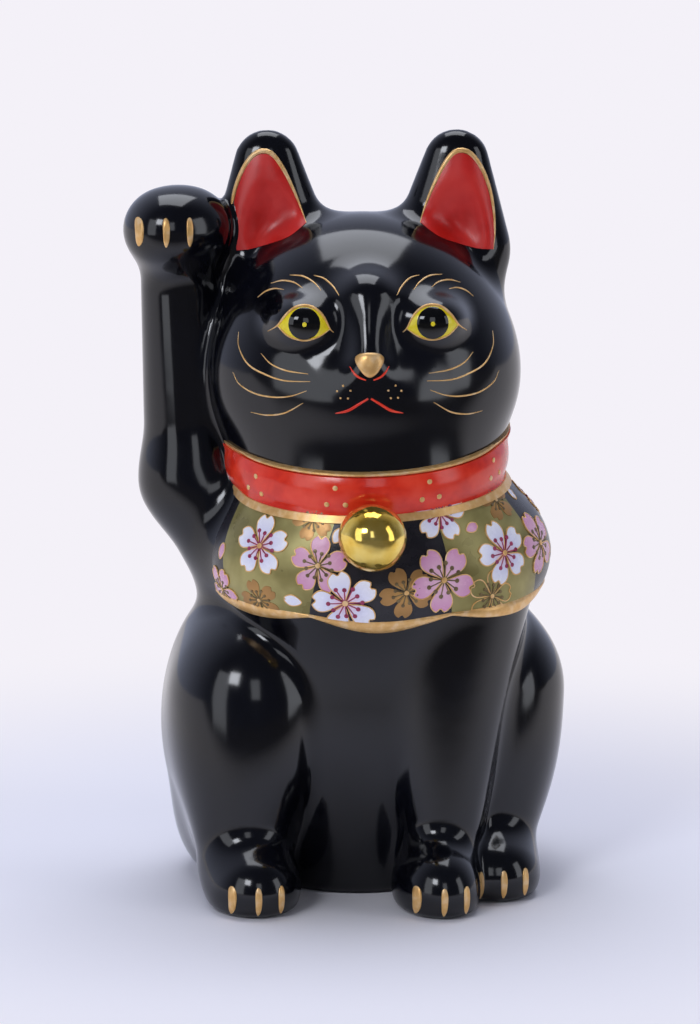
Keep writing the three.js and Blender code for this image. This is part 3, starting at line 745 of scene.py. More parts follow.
def stroke(line, drop, width, height, lift=0.0, closed=False, sunk=0.3, round_by=5):
    """A half-round line. width is in mm: one number, or one for each point of the line."""
    on, way = drop(np.asarray(line, float))
    count = len(on)
    if closed:
        along = np.roll(on, -1, 0) - np.roll(on, 1, 0)
    else:
        along = np.gradient(on, axis=0)
    across = unit(np.cross(way, along))
    half = np.broadcast_to(np.asarray(width, float) / 2, count)
    turns = np.linspace(0, math.pi, round_by + 1)
    ring = []
    for a in turns:
        rise = lift + height * math.sin(a) * half / half.max()
        ring.append(on + across * (half * math.cos(a))[:, None] + way * rise[:, None])
    ring.append(on - across * half[:, None] - way * sunk)
    ring.append(on + across * half[:, None] - way * sunk)
    size = len(ring)
    points = np.stack(ring, 1).reshape(-1, 3)
    faces = []
    for i in range(count if closed else count - 1):
        j = (i + 1) % count
        for k in range(size):
            m = (k + 1) % size
            faces.append((i * size + k, i * size + m, j * size + m, j * size + k))
    if not closed:
        faces.append(tuple(reversed(range(size))))
        faces.append(tuple(range((count - 1) * size, count * size)))
    return points, faces


def brushed(count, width, start=0.25, end=0.25, full=0.5):
    """The widths of a brush stroke that is widest part of the way along."""
    t = np.linspace(0, 1, count)
    rise = np.where(t < full, start + (1 - start) * np.sin(math.pi / 2 * t / full), 0)
    fall = end + (1 - end) * np.sin(math.pi / 2 * (1 - t) / (1 - full))
    return width * np.where(t < full, rise, fall)


def drop_on(field, frame_turn, frame_mid, front=90.0):
    """A function that drops flat points (x, z) on a skin, along the +y of a turned frame."""
    turn = np.asarray(frame_turn, np.float32)
    ahead = turn @ np.array((0, 1, 0), np.float32)

    def drop(flat):
        flat = np.asarray(flat, np.float32)
        start = np.stack((flat[:, 0], np.full(len(flat), -front), flat[:, 1]), 1)
        on = meet(field, start.astype(np.float32) @ turn.T + frame_mid, ahead)
        return on, unit(slope_of(field, on.astype(np.float32)))

    return drop


on_face = drop_on(head_field, HEAD_TURN, HEAD_MID)
on_skull = drop_on(skull_field, HEAD_TURN, HEAD_MID)


def mirrored(points, side):
    return [(side * x, z) for x, z in points]


def sheaf_pad(sheaf, outline, drop, thick, tint=None, **more):
    points, faces, flat = pad(outline, drop, thick, **more)
    ways = drop(flat[:1])[1][0]
    sheaf.add(points, facing(points, faces, ways), 0.0 if tint is None else tint(flat))


def sheaf_stroke(sheaf, line, drop, width, height, **more):
    sheaf.add(*stroke(line, drop, width, height, **more))


# %% [markdown]
# ### Ears
# Each ear has a flat red panel inside, with a gold border that thins away down the sides. The
# panel is the dish of the ear filled with enamel: an arch drawn as two curves that meet at the
# tip, closed below by a shallow bow.

# %% Red ear panels and their gold borders
EAR_ARCH = [
    (47.6, 39), (47.9, 45), (47.4, 52), (45.9, 60), (43, 67.5), (39.6, 72.3),
    (36.3, 73.9), (33, 72.8), (29.6, 68.2), (26.4, 62), (23.4, 55.4), (20.8, 49.2),
]
EAR_BOW = [(27, 44.6), (34, 41.6), (41, 39.6)]
for side, name in ((-1, "right"), (1, "left")):
    arch = curve_through(mirrored(EAR_ARCH, side), 44)
    bow = curve_through(mirrored(EAR_ARCH[-1:] + EAR_BOW + EAR_ARCH[:1], side), 22)[1:-1]
    panel = Sheaf()
    sheaf_pad(panel, np.concatenate((arch, bow)), on_skull, 0.45, rings=10)
    panel.finish(name + "_ear_panel", ear_red, "ear_red", [name + "_ear_enamel"])
    border = Sheaf()
    away = unit(arch - np.array((side * 34.5, 52)))
    widths = brushed(44, 1.9, 0.12, 0.12, 0.55)
    sheaf_stroke(border, arch + away * 0.55 * widths[:, None], on_skull, widths, 0.7)
    border.finish(name + "_ear_border", gilt, "gilt", [name + "_ear_gilt"])

# %% [markdown]
# ### Eyes
# The eyes are almonds of yellow enamel over the swell of the eyeball, each with a black disc and a
# yellow spark in its middle. A thick gilt stroke draws the upper lid and runs on past the outer
# corner as a flick; a thin one draws the lower lid.

# %% Eyes and lids
EYE_UPPER = [(13.6, 15.4), (16.2, 20.2), (19.3, 22.8), (22.9, 23.6), (26.4, 22.7), (29.6, 20), (32.2, 16.5)]
EYE_LOWER = [(32.2, 16.5), (28.2, 12.9), (22.8, 11.5), (17.9, 12.7), (13.6, 15.4)]
PUPIL_MID = (22.8, 17.4)
PUPIL_RADIUS = 5.5
for side, name in ((-1, "right"), (1, "left")):
    upper = curve_through(mirrored(EYE_UPPER, side), 26)
    lower = curve_through(mirrored(EYE_LOWER, side), 22)
    white_of_eye = Sheaf()
    middle = np.array((side * PUPIL_MID[0], PUPIL_MID[1]))
    almond = np.concatenate((upper, lower[1:-1]))
    sheaf_pad(white_of_eye, almond, on_face, 0.3, rings=6, centre=middle)
    white_of_eye.finish(name + "_eye", yellow, "eye_yellow", [name + "_eye_enamel"])
    turns = np.linspace(0, 2 * math.pi, 33)[:-1]
    disc = np.stack((np.cos(turns), np.sin(turns)), 1)
    dark = Sheaf()
    sheaf_pad(dark, middle + disc * PUPIL_RADIUS, on_face, 0.25, rings=5, lift=0.3)
    dark.finish(name + "_iris", pupil_black, "black_glaze", [name + "_pupil"])
    spark = Sheaf()
    sheaf_pad(spark, middle + disc * 0.75, on_face, 0.2, rings=2, lift=0.55)
    spark.finish(name + "_eye_spark", yellow, "eye_yellow")
    lid = Sheaf()
    past = [(side * 12.3, 14.2)] + mirrored(EYE_UPPER, side) + [(side * 35.4, 13.8)]
    line = curve_through(past, 40)
    sheaf_stroke(lid, line, on_face, brushed(40, 1.05, 0.25, 0.2), 0.5, lift=0.25)
    lid.finish(name + "_upper_lid", gilt, "gilt", [name + "_upper_lid_gilt"])
    rim = Sheaf()
    sheaf_stroke(rim, lower, on_face, brushed(22, 0.7, 0.5, 0.4), 0.4, lift=0.2)
    rim.finish(name + "_lower_lid", gilt, "gilt", [name + "_lower_lid_gilt"])

# %% [markdown]
# ### Nose, mouth and whiskers
# The nose is a small rounded triangle of thick gilt with a red stroke down each side. The mouth is
# two red strokes that meet under it. The brows and whiskers are single strokes of a fine brush
# loaded with gilt, which swell in the middle and leave the glaze to a point.

# %% Nose and mouth
NOSE = [(0, 8), (3.2, 7.5), (4.9, 5.8), (4.2, 3.4), (2.2, 0.6), (0, -0.6)]
NOSE_SIDE = [(7, 3), (5.6, 0.9), (3.8, -0.6), (1.3, -1.6)]
MOUTH = [(0.5, -8.3), (3.6, -10.2), (7.6, -12.7), (12, -13.9)]
nose = Sheaf()
ring = curve_through(NOSE + mirrored(NOSE[1:-1][::-1], -1), 40, closed=True)
sheaf_pad(nose, ring, on_face, 1.1, rings=8, lift=0.1)
nose.finish("nose_tip", gilt, "gilt", ["nose_gilt"], sharp=60)
for side, name in ((-1, "right"), (1, "left")):
    lip = Sheaf()
    line = curve_through(mirrored(MOUTH, side), 24)
    sheaf_stroke(lip, line, on_face, brushed(24, 1.05, 0.7, 0.3, 0.6), 0.3)
    side_line = curve_through(mirrored(NOSE_SIDE, side), 18)
    sheaf_stroke(lip, side_line, on_face, brushed(18, 0.85, 0.3, 0.5), 0.3)
    lip.finish(name + "_lip", collar_red, "collar_red", ["mouth_" + name + "_enamel"])

# %% Whiskers, brows and whisker dots
WHISKERS = [
    [(38, 5.6), (34.5, 2.2), (29, 0.2), (21.5, -0.5)],
    [(45.8, 12), (45.8, 7), (42.5, 1.2), (36, -1.9), (29.5, -3.4), (20.8, -3.1)],
    [(48, -2.2), (45.8, -6.1), (40.3, -8.9), (33.3, -9.6), (27.5, -8.7), (22, -6.4)],
    [(41.7, -16), (36, -16.4), (29.7, -15), (23.3, -10.9)],
]
BROWS = [
    [(38.9, 24.4), (36, 26.7), (32.8, 27.9), (29.6, 27.9)],
    [(34.1, 29.5), (30.1, 30.7), (26, 30.4), (23, 28.8)],
    [(27.4, 32.7), (22.9, 32.6), (19.2, 30.9), (16.5, 28.3)],
    [(18.9, 33), (15.5, 32.2), (12.3, 29.8), (10.3, 27)],
]
WHISKER_DOTS = [(9.3, -3.9), (11.4, -5.9), (6.7, -5.5), (10.2, -8.3), (7.6, -8.3)]
for side, name in ((-1, "right"), (1, "left")):
    for number, points in enumerate(WHISKERS, 1):
        whisker = Sheaf()
        line = curve_through(mirrored(points, side), 34)
        sheaf_stroke(whisker, line, on_face, brushed(34, 0.65, 0.3, 0.35), 0.3)
        label = name + "_whisker_" + str(number)
        whisker.finish(label + "_stroke", gilt, "gilt", [label])
    brow = Sheaf()
    for points in BROWS:
        line = curve_through(mirrored(points, side), 22)
        sheaf_stroke(brow, line, on_face, brushed(22, 0.65, 0.3, 0.3), 0.3)
    brow.finish(name + "_brow", gilt, "gilt")
    dots = Sheaf()
    turns = np.linspace(0, 2 * math.pi, 13)[:-1]
    for x, z in WHISKER_DOTS:
        ring = np.stack((side * x + 0.38 * np.cos(turns), z + 0.38 * np.sin(turns)), 1)
        sheaf_pad(dots, ring, on_face, 0.25, rings=2)
    dots.finish(name + "_whisker_dots", gilt, "gilt")

# %% [markdown]
# ### Claws
# Three gilt strokes on each paw stand for its claws: long leaves, pointed at both ends and
# thickest in the middle. The CAD model says where each one is; those on the raised paw sit a little
# further out, towards its side.

# %% Claws
PAWS = {"raised": arm_field, "right_hind": body_field, "left_fore": body_field, "left_hind": body_field}
LEAF = [
    (0, 1), (0.7, 0.85), (1, 0.45), (0.95, -0.2), (0.7, -0.7), (0, -1), (-0.7, -0.7), (-0.95, -0.2),
    (-1, 0.45), (-0.7, 0.85),
]
SHIFT = {"raised": (-3.6, -0.5), "right_hind": (-3, -1), "left_fore": (-7.5, -1), "left_hind": (-10.5, -0.5)}
for paw, field in PAWS.items():
    on_paw = drop_on(field, turned(), np.zeros(3, np.float32), front=110)
    for number in (1, 2, 3):
        node = paw + "_claw_" + str(number)
        low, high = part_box(node)
        middle = np.array(((low.x + high.x) / 2 / MM - MIDDLE_X, (low.z + high.z) / 2 / MM))
        middle += SHIFT.get(paw, (0, 0))
        half = np.array((1.2, (high.z - low.z) / 2 / MM))
        claw = Sheaf()
        ring = curve_through(LEAF, 36, closed=True) * half + middle
        sheaf_pad(claw, ring, on_paw, 0.5, rings=5, lift=0.05)
        claw.finish(node + "_stroke", gilt, "gilt", [node], sharp=60)

# %% [markdown]
# ## Collar and bell
# The collar is a raised band cast with the neck and painted red, with a gold cord along its top
# and a gold border below. It sits square to the neck, which leans forward and a little to one
# side. A profile is drawn once and spun round the neck; each ring of points is then pushed out
# where a cheek or the chest would swallow it, as the modeller's tool would leave it.

# %% Spin a band round the neck
COLLAR_MID = np.array((0.0, -7.0, 160.2), np.float32)
COLLAR_TURN = turned(pitch=8.5, roll=-2.9)


def under_collar(p):
    return np.minimum(body_field(p), head_field(p))


def neck_band(name, profile, proud, material, nodes):
    """profile is (radius, height) points in mm, all round the band's section."""
    bpy.ops.object.select_all(action="DESELECT")
    mesh = bpy.data.meshes.new(name)
    count = len(profile)
    edges = [(i, (i + 1) % count) for i in range(count)]
    mesh.from_pydata([(r, 0, z) for r, z in profile], edges, [])
    band = bpy.data.objects.new(name, mesh)
    bpy.context.scene.collection.objects.link(band)
    bpy.context.view_layer.objects.active = band
    band.select_set(True)
    bpy.ops.object.mode_set(mode="EDIT")
    bpy.ops.mesh.select_all(action="SELECT")
    turn = 2 * math.pi
    bpy.ops.mesh.spin(steps=144, angle=turn, center=(0, 0, 0), axis=(0, 0, 1))
    bpy.ops.mesh.select_all(action="SELECT")
    bpy.ops.mesh.remove_doubles(threshold=0.001)
    bpy.ops.mesh.normals_make_consistent(inside=False)
    bpy.ops.object.mode_set(mode="OBJECT")
    at = np.array([v.co for v in mesh.vertices], np.float32)
    reach = np.hypot(at[:, 0], at[:, 1])[:, None]
    ray = np.stack((at[:, 0], at[:, 1], 0 * at[:, 2]), 1) / reach
    start = (ray * 95 + at * (0, 0, 1)).astype(np.float32) @ COLLAR_TURN.T + COLLAR_MID
    met = meet(under_collar, start, -(ray @ COLLAR_TURN.T), proud)
    least = 95 - np.linalg.norm(met - start, axis=1)[:, None]
    inner = min(r for r, z in profile)
    outside = reach > inner + 0.5
    moved = np.where(outside, np.maximum(reach, least), reach)
    at = ray * moved + at * (0, 0, 1)
    mesh.vertices.foreach_set("co", to_frame(at @ COLLAR_TURN.T + COLLAR_MID).ravel())
    mesh.update()
    mesh.materials.append(material)
    settle(band, nodes, 50)
    print(name, len(mesh.polygons), "faces")
    return band


def bulged(low, high, radius, bulge, depth, steps=8):
    """A band's section: a swelling outside and a plain inside."""
    t = [i / steps for i in range(steps + 1)]
    out = [(radius + bulge * (1 - abs(2 * s - 1) ** 2.5), low + (high - low) * s) for s in t]
    return out + [(radius - depth, high), (radius - depth, low)]


band = bulged(-6.6, 7.0, 50.6, 1.9, 7)
neck_band("collar", band, 1.5, collar_red, ["collar_band"])
cord = bulged(7.0, 8.2, 49.2, 0.7, 6, 6)
neck_band("collar_cord", cord, 0.9, gilt, ["collar_top_gilt"])
border = bulged(-8.9, -6.5, 50.6, 0.5, 7, 6)
neck_band("collar_border", border, 1.9, gilt, ["collar_lower_gilt"])

# %% [markdown]
# The collar is spotted with gold dots, set in threes. Each is a drop of gilt, a flattened bead
# made once and copied; a copy keeps its own mesh, so each can be set square to the band.

# %% Gold dots in threes
DOTS = [
    (-153, 2.9), (-158, -2.4), (-150, -3.1), (-116, 3.6), (-119.5, -2.6), (-112, -2.4),
    (-78, 4.2), (-81.5, -1.9), (-74, -1.8), (-41, 4.4), (-44.5, -1.4), (-36.5, -1.3),
    (-2, 3.8), (-5.5, -2), (2, -2), (38, 3.8), (34.5, -2), (42, -2), (78, 3.8), (74.5, -2),
    (82, -2), (118, 3.8), (114.5, -2), (122, -2), (160, 3.8), (156.5, -2), (164, -2),
]
bpy.ops.object.select_all(action="DESELECT")
bpy.ops.mesh.primitive_uv_sphere_add(segments=14, ring_count=8, radius=1.0)
bead = bpy.context.object
bpy.ops.object.mode_set(mode="EDIT")
bpy.ops.mesh.select_all(action="SELECT")
bpy.ops.transform.resize(value=(0.38, 1.0, 1.0))
bpy.ops.object.mode_set(mode="OBJECT")
bead_points = np.array([v.co for v in bead.data.vertices])
bead_faces = [tuple(f.vertices) for f in bead.data.polygons]
bpy.data.objects.remove(bead)
beads = Sheaf()
for bearing, height in DOTS:
    a = math.radians(bearing)
    ray = np.array((math.cos(a), math.sin(a), 0), np.float32)
    start = (ray * 95 + (0, 0, height)).astype(np.float32) @ COLLAR_TURN.T + COLLAR_MID
    met = meet(under_collar, start[None], -(ray @ COLLAR_TURN.T), 1.5)[0]
    swell = 50.6 + 1.9 * (1 - abs(2 * (height + 6.6) / 13.6 - 1) ** 2.5)
    reach = max(swell, 95 - np.linalg.norm(met - start))
    spun = bead_points @ turned(yaw=bearing).T + ray * reach + (0, 0, height)
    beads.add(spun @ COLLAR_TURN.T + COLLAR_MID, bead_faces)
beads.finish("collar_dots", gilt, "gilt")

# %% [markdown]
# The bell is a hollow ball modelled in clay at the collar's edge and coated with bright gold. It
# was pressed on by hand, so it isn't a true sphere: a low-frequency ripple shows in its
# reflections. It is a sphere stretched a little in edit mode, with a flat pressed back and a soft
# displacement.

# %% Bell
low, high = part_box("bell")
BELL_RADIUS = (high.x - low.x) / 2
bell_at = Vector(((low.x + high.x) / 2, low.y + BELL_RADIUS, (low.z + high.z) / 2))
bpy.ops.object.select_all(action="DESELECT")
bpy.ops.mesh.primitive_uv_sphere_add(segments=96, ring_count=64, radius=BELL_RADIUS)
bell = bpy.context.object
bell.name = "gold_bell"
bpy.ops.object.mode_set(mode="EDIT")
bpy.ops.mesh.select_all(action="SELECT")
bpy.ops.transform.rotate(value=math.pi / 2, orient_axis="X", center_override=(0, 0, 0))
bpy.ops.transform.resize(value=(1.0, 0.98, 0.985))
bpy.ops.mesh.select_all(action="DESELECT")
bpy.ops.object.mode_set(mode="OBJECT")
for v in bell.data.vertices:
    v.select = v.co.y > 0.55 * BELL_RADIUS
bpy.ops.object.mode_set(mode="EDIT")
bpy.ops.transform.resize(value=(1.0, 0.25, 1.0), center_override=(0, 0.55 * BELL_RADIUS, 0))
bpy.ops.object.mode_set(mode="OBJECT")
ripple = bpy.data.textures.new("bell_ripple", "CLOUDS")
ripple.noise_scale = 0.011
wave = bell.modifiers.new("ripple", "DISPLACE")
wave.texture = ripple
wave.strength = 0.0007
wave.mid_level = 0.5
bpy.ops.object.modifier_apply(modifier="ripple")
bell.data.transform(Matrix.Translation(bell_at))
bell.data.materials.append(bright_gilt)
settle(bell, ["bell"], 60)
print("bell", [round(c / MM, 1) for c in bell_at], "mm, radius", round(BELL_RADIUS / MM, 1))

# %% [markdown]
# ## The bib
# The bib is a raised step on the chest, 1.2 mm thick, that goes all the way round under the
# collar. Its lower edge hangs in scallops. Its ground is painted in panels: black in front and
# behind, olive gold lustre on either side, and a gold hem that is broadest in the middle of
# each scallop. It is drawn by bearing, seen from above, and by height, then laid on the body.

# %% Lay a strip on the body by bearing and height
AXIS_Y = -6.0
SCALLOPS = [-125.5, -70.5, -21, 48, 116, 185]
CUSP, LOWEST, SIDE_LEVEL, SIDE_DEPTH = 108.5, 103.0, 113.5, 3.0
HEM = 3.4
BIB_THICK = 1.2


def hem_at(bearing):
    """The height of the scalloped edge, and the share of the hem's full breadth."""
    b = (np.asarray(bearing, float) - SCALLOPS[0]) % 360 + SCALLOPS[0]
    starts = np.array(SCALLOPS + [SCALLOPS[0] + 360])
    index = np.clip(np.searchsorted(starts, b, side="right") - 1, 0, len(starts) - 2)
    share = np.sin(math.pi * (b - starts[index]) / (starts[index + 1] - starts[index]))
    front = (SCALLOPS[0] + SCALLOPS[1]) / 2
    aside = np.minimum(1, 1 - np.cos(np.radians(b - front)))
    level = CUSP + (SIDE_LEVEL - CUSP) * aside
    depth = np.where(index == 0, CUSP - LOWEST, SIDE_DEPTH)
    return level - depth * share, share


def on_body(bearing, height, offset):
    """Points that stand offset outside the body, at bearings and heights."""
    a = np.radians(np.asarray(bearing, np.float32)).ravel()
    z = np.asarray(height, np.float32).ravel()
    ray = np.stack((np.cos(a), np.sin(a), 0 * a), 1)
    start = ray * 100 + np.stack((0 * a, AXIS_Y + 0 * a, z), 1)
    return meet(body_field, start.astype(np.float32), -ray, offset)


def strip(name, bearings, heights, outside, inside, material, nodes=(), tops=None):
    """A closed layer over a grid of bearings (columns) and heights (rows, low to high)."""
    rows, columns = heights.shape
    points = on_body(bearings, heights, outside)
    way = unit(slope_of(body_field, points.astype(np.float32)))
    lift = np.zeros(len(points)) if tops is None else tops.ravel()
    outer = points + way * lift[:, None]
    inner = points - way * (outside - inside)
    n = rows * columns
    faces = []
    for r in range(rows - 1):
        for c in range(columns - 1):
            a, b = r * columns + c, (r + 1) * columns + c
            faces.append((a, a + 1, b + 1, b))
            faces.append((n + a, n + b, n + b + 1, n + a + 1))
    edge = [(0, c) for c in range(columns)] + [(r, columns - 1) for r in range(1, rows)]
    edge += [(rows - 1, c) for c in range(columns - 2, -1, -1)] + [(r, 0) for r in range(rows - 2, 0, -1)]
    loop = [r * columns + c for r, c in edge]
    for a, b in zip(loop, loop[1:] + loop[:1]):
        faces.append((a, n + a, n + b, b))
    made = piece(name, np.concatenate((outer, inner)), faces, material, nodes, sharp=50)
    print(name, len(faces), "faces")
    return made


def collar_level(bearing):
    """The height on the body that the collar's middle covers."""
    a = np.radians(bearing)
    x, y = 50 * np.cos(a), AXIS_Y + 50 * np.sin(a)
    return COLLAR_MID[2] + (y - COLLAR_MID[1]) * math.tan(math.radians(8.5)) + x * 0.05


def front_right(z):
    return -126.3 + (z - 107.6) * 0.285


def front_left(z):
    return -70.5 - (z - 108.9) * 0.13


def far_left(z):
    return -33.3 - (z - 116.7) * 0.122


def far_right(z):
    return -160.5 - (z - 118) * 0.17


def around(edge):
    return lambda z: edge(z) + 360


PANELS = [
    ("bib_front", front_right, front_left, bib_black, ["bib"]),
    ("bib_olive_right", far_right, front_right, olive, []),
    ("bib_olive_left", front_left, far_left, olive, []),
    ("bib_back", far_left, around(far_right), bib_black, []),
]
for name, start, end, material, nodes in PANELS:
    across = max(8, int((end(120) - start(120)) / 1.8))
    share = np.linspace(0, 1, across + 1)[None]
    up = np.linspace(0, 1, 27)[:, None]
    guess = start(120) * (1 - share) + end(120) * share
    for _ in range(3):
        height = hem_at(guess)[0] + (collar_level(guess) - hem_at(guess)[0]) * up
        guess = start(height) * (1 - share) + end(height) * share
    strip(name, guess, height, BIB_THICK, -0.6, material, nodes)

bearings = np.linspace(-180, 180, 361)[None] + np.zeros((6, 1))
low_edge, share = hem_at(bearings)
up = np.linspace(0, 1, 6)[:, None]
heights = low_edge - 0.5 + (1.2 + HEM * share) * up
tops = 0.5 * np.sqrt(np.maximum(0, 1 - (2 * up - 1) ** 4)) + 0 * share
strip("bib_hem", bearings, heights, BIB_THICK, -0.6, gilt, ["bib_hem_gilt"], tops)

# %% [markdown]
# ### Cherry blossom
# Five notched petals, a gold outline, and a ring of stamens with round tips: this is cherry blossom
# as it is drawn on porcelain everywhere. The petals are enamel, shaded from the middle outwards;
# some are lustre only, and lie under the others. Each flower is drawn flat, turned to its own
# angle, and laid on the bib. Where it would run past the hem it is cut off along the hem. The real
# stamens are hair lines of 0.2 mm; they are drawn twice as broad, so that they show.

# %% One blossom
PETAL = [
    (0.07, 0.02), (0.2, 0.1), (0.38, 0.22), (0.58, 0.32), (0.76, 0.335), (0.9, 0.26), (0.99, 0.12),
    (0.88, 0.0), (0.99, -0.12), (0.9, -0.26), (0.76, -0.335), (0.58, -0.32), (0.38, -0.22), (0.2, -0.1),
    (0.07, -0.02),
]
LOOSE = [(-0.9, 0), (-0.5, 0.42), (0.1, 0.62), (0.6, 0.5), (1, 0.12), (0.78, 0), (1, -0.12), (0.6,
    -0.5), (0.1, -0.62), (-0.5, -0.42)]


TURNS = np.arange(-190, 191, 1.5)
LEVELS = np.arange(98, 172, 1.0)
GRID = [g.ravel() for g in np.meshgrid(TURNS, LEVELS, indexing="ij")]
grid_points = on_body(GRID[0], GRID[1], BIB_THICK)
grid_ways = unit(slope_of(body_field, grid_points.astype(np.float32)))
BIB_MAP = np.concatenate((grid_points, grid_ways), 1).reshape(len(TURNS), len(LEVELS), 6)


def bib_skin(bearing, height):
    """Points and normals of the bib's enamel, read between the points of the map."""
    u = np.clip((np.asarray(bearing) - TURNS[0]) / 1.5, 0, len(TURNS) - 1.001)
    v = np.clip((np.asarray(height) - LEVELS[0]) / 1.0, 0, len(LEVELS) - 1.001)
    i, j = u.astype(int), v.astype(int)
    s, t = (u - i)[:, None], (v - j)[:, None]
    low = BIB_MAP[i, j] * (1 - s) + BIB_MAP[i + 1, j] * s
    high = BIB_MAP[i, j + 1] * (1 - s) + BIB_MAP[i + 1, j + 1] * s
    mixed = low * (1 - t) + high * t
    return mixed[:, :3], unit(mixed[:, 3:])


def on_bib(bearing, height, lift):
    """Drops flat points (x, z), drawn round a place on the bib, onto its enamel."""
    middle, way = (a[0] for a in bib_skin(np.array([bearing]), np.array([height])))
    right = unit(np.cross((0, 0, 1), way))
    up = np.cross(way, right)

    def drop(flat):
        at = middle + flat[:, :1] * right + flat[:, 1:] * up
        b = np.degrees(np.arctan2(at[:, 1] - AXIS_Y, at[:, 0]))
        low_edge, share = hem_at(b)
        z = np.maximum(at[:, 2], low_edge + 0.6 + HEM * share)
        on, ways = bib_skin(b, z)
        return on + ways * lift, ways

    return drop


def spun(points, turn):
    a = math.radians(turn)
    p = np.asarray(points, float)
    return p @ np.array(((math.cos(a), math.sin(a)), (-math.sin(a), math.cos(a))))


petals = {"white": Sheaf(), "pink": Sheaf(), "gold": Sheaf()}
outlines = Sheaf()
stamens = {"white": Sheaf(), "pink": Sheaf(), "gold": Sheaf()}
RING = np.linspace(0, 2 * math.pi, 11)[:-1]
ROUND = np.stack((np.cos(RING), np.sin(RING)), 1)


def blossom(kind, bearing, height, size, turn, layer, filled=True):
    drop = on_bib(bearing, height, 0.1 + 0.22 * layer)
    shape = curve_through(np.array(PETAL), 38)
    for k in range(5):
        outline = spun(shape, turn + 72 * k) * size
        middle = spun([(0.58, 0)], turn + 72 * k)[0] * size
        if filled:
            tint = lambda flat: np.clip(np.linalg.norm(flat, axis=1) / size, 0, 1)
            sheaf_pad(petals[kind], outline, drop, 0.1, tint, rings=3, centre=middle, sunk=0.25)
        if kind != "gold" or not filled:
            sheaf_stroke(outlines, outline, drop, 0.42, 0.1, lift=0.08, round_by=3)
    for k in range(12):
        angle = turn + 18 + 30 * k
        reach = (0.5, 0.42)[k % 2] * size
        line = spun([(0.06 * size, 0), (0.3 * reach, 0), (0.65 * reach, 0), (reach, 0)], angle)
        sheaf_stroke(stamens[kind], line, drop, 0.46, 0.12, lift=0.16, round_by=3)
        tip = spun([(reach, 0)], angle) + ROUND * 0.068 * size
        sheaf_pad(stamens[kind], tip, drop, 0.14, lift=0.2, rings=1)
    sheaf_pad(outlines, ROUND * 0.09 * size, drop, 0.15, lift=0.3, rings=1)


def loose_petal(kind, bearing, height, size, turn):
    drop = on_bib(bearing, height, 0.1)
    outline = spun(curve_through(LOOSE, 26, closed=True), turn) * size
    tint = lambda flat: np.clip(0.6 + 0.4 * np.linalg.norm(flat, axis=1) / size, 0, 1)
    sheaf_pad(petals[kind], outline, drop, 0.1, tint, rings=3, sunk=0.25)
    sheaf_stroke(outlines, outline, drop, 0.42, 0.1, lift=0.08, closed=True, round_by=3)


# %% Scatter the blossoms round the bib
FRONT = [
    ("gold", -88.8, 118.3, 10.0, 120, 0), ("gold", -145, 113.7, 8.5, 108, 0),
    ("gold", -43.8, 147.2, 8.5, 98, 0), ("gold", -125, 143.8, 8.0, -36, 0),
    ("white", -144.2, 133.5, 11.2, 90, 1), ("pink", -121.2, 128.2, 10.4, 86, 1),
    ("white", -111.5, 114.9, 12.2, 105, 2), ("white", -73.4, 145.3, 10.4, 10, 1),
    ("pink", -74.9, 122.3, 12.2, 125, 1), ("white", -50.1, 129.5, 11.6, 107, 1),
    ("pink", -30.5, 130, 11.5, 110, 1), ("pink", -165, 114.8, 9.5, 125, 1),
]
BACK = [
    ("white", -8, 143, 10.5, 60, 1), ("gold", -8, 123, 9, 30, 0), ("white", 14, 128, 11, 100, 1),
    ("pink", 36, 140, 10.5, 80, 1), ("gold", 34, 121, 9, 140, 0), ("white", 58, 126, 11.5, 20, 1),
    ("pink", 82, 140, 10.5, 95, 1), ("gold", 84, 121, 9, 60, 0), ("white", 106, 128, 11.5, 75, 1),
    ("pink", 130, 141, 10, 10, 1), ("gold", 134, 123, 9, 100, 0), ("white", 154, 131, 10.5, 50, 1),
]
for flower in FRONT + BACK:
    blossom(*flower)
blossom("gold", -56.1, 114.6, 9.5, 150, 0, filled=False)
PETALS = [
    ("white", -131, 114.8, 3.6, 170), ("white", -114.5, 138.6, 3.2, 60), ("white", -30.2, 147.5, 2.8, 100),
    ("pink", -61.2, 139.5, 2.9, 20), ("pink", -163.6, 129, 3.2, 80), ("white", 0, 134, 3, 40),
    ("pink", 47, 130, 3, 120), ("white", 95, 132, 3, 10), ("pink", 120, 133, 3, 70),
]
for petal in PETALS:
    loose_petal(*petal)
for kind, material in (("white", white_petal), ("pink", pink_petal), ("gold", gold_petal)):
    petals[kind].finish("petals_" + kind, material, "bib_enamel")
outlines.finish("blossom_outlines", gilt, "gilt")
for kind, material in (("white", stamen_red), ("pink", stamen_grey), ("gold", stamen_grey)):
    stamens[kind].finish("stamens_" + kind, material, "bib_enamel")

# %% [markdown]
# ## Studio
# The cat stands on a pale sweep in a plain studio: one large soft key from the front left, a
# narrow strip on each side for the long highlights down the glaze, and a soft top light. Black
# glaze shows its form only by what it reflects, so the room is kept dim and the lamps large. The
# pale ground is in the floor's own colour and, behind it, in the world as the camera sees it.

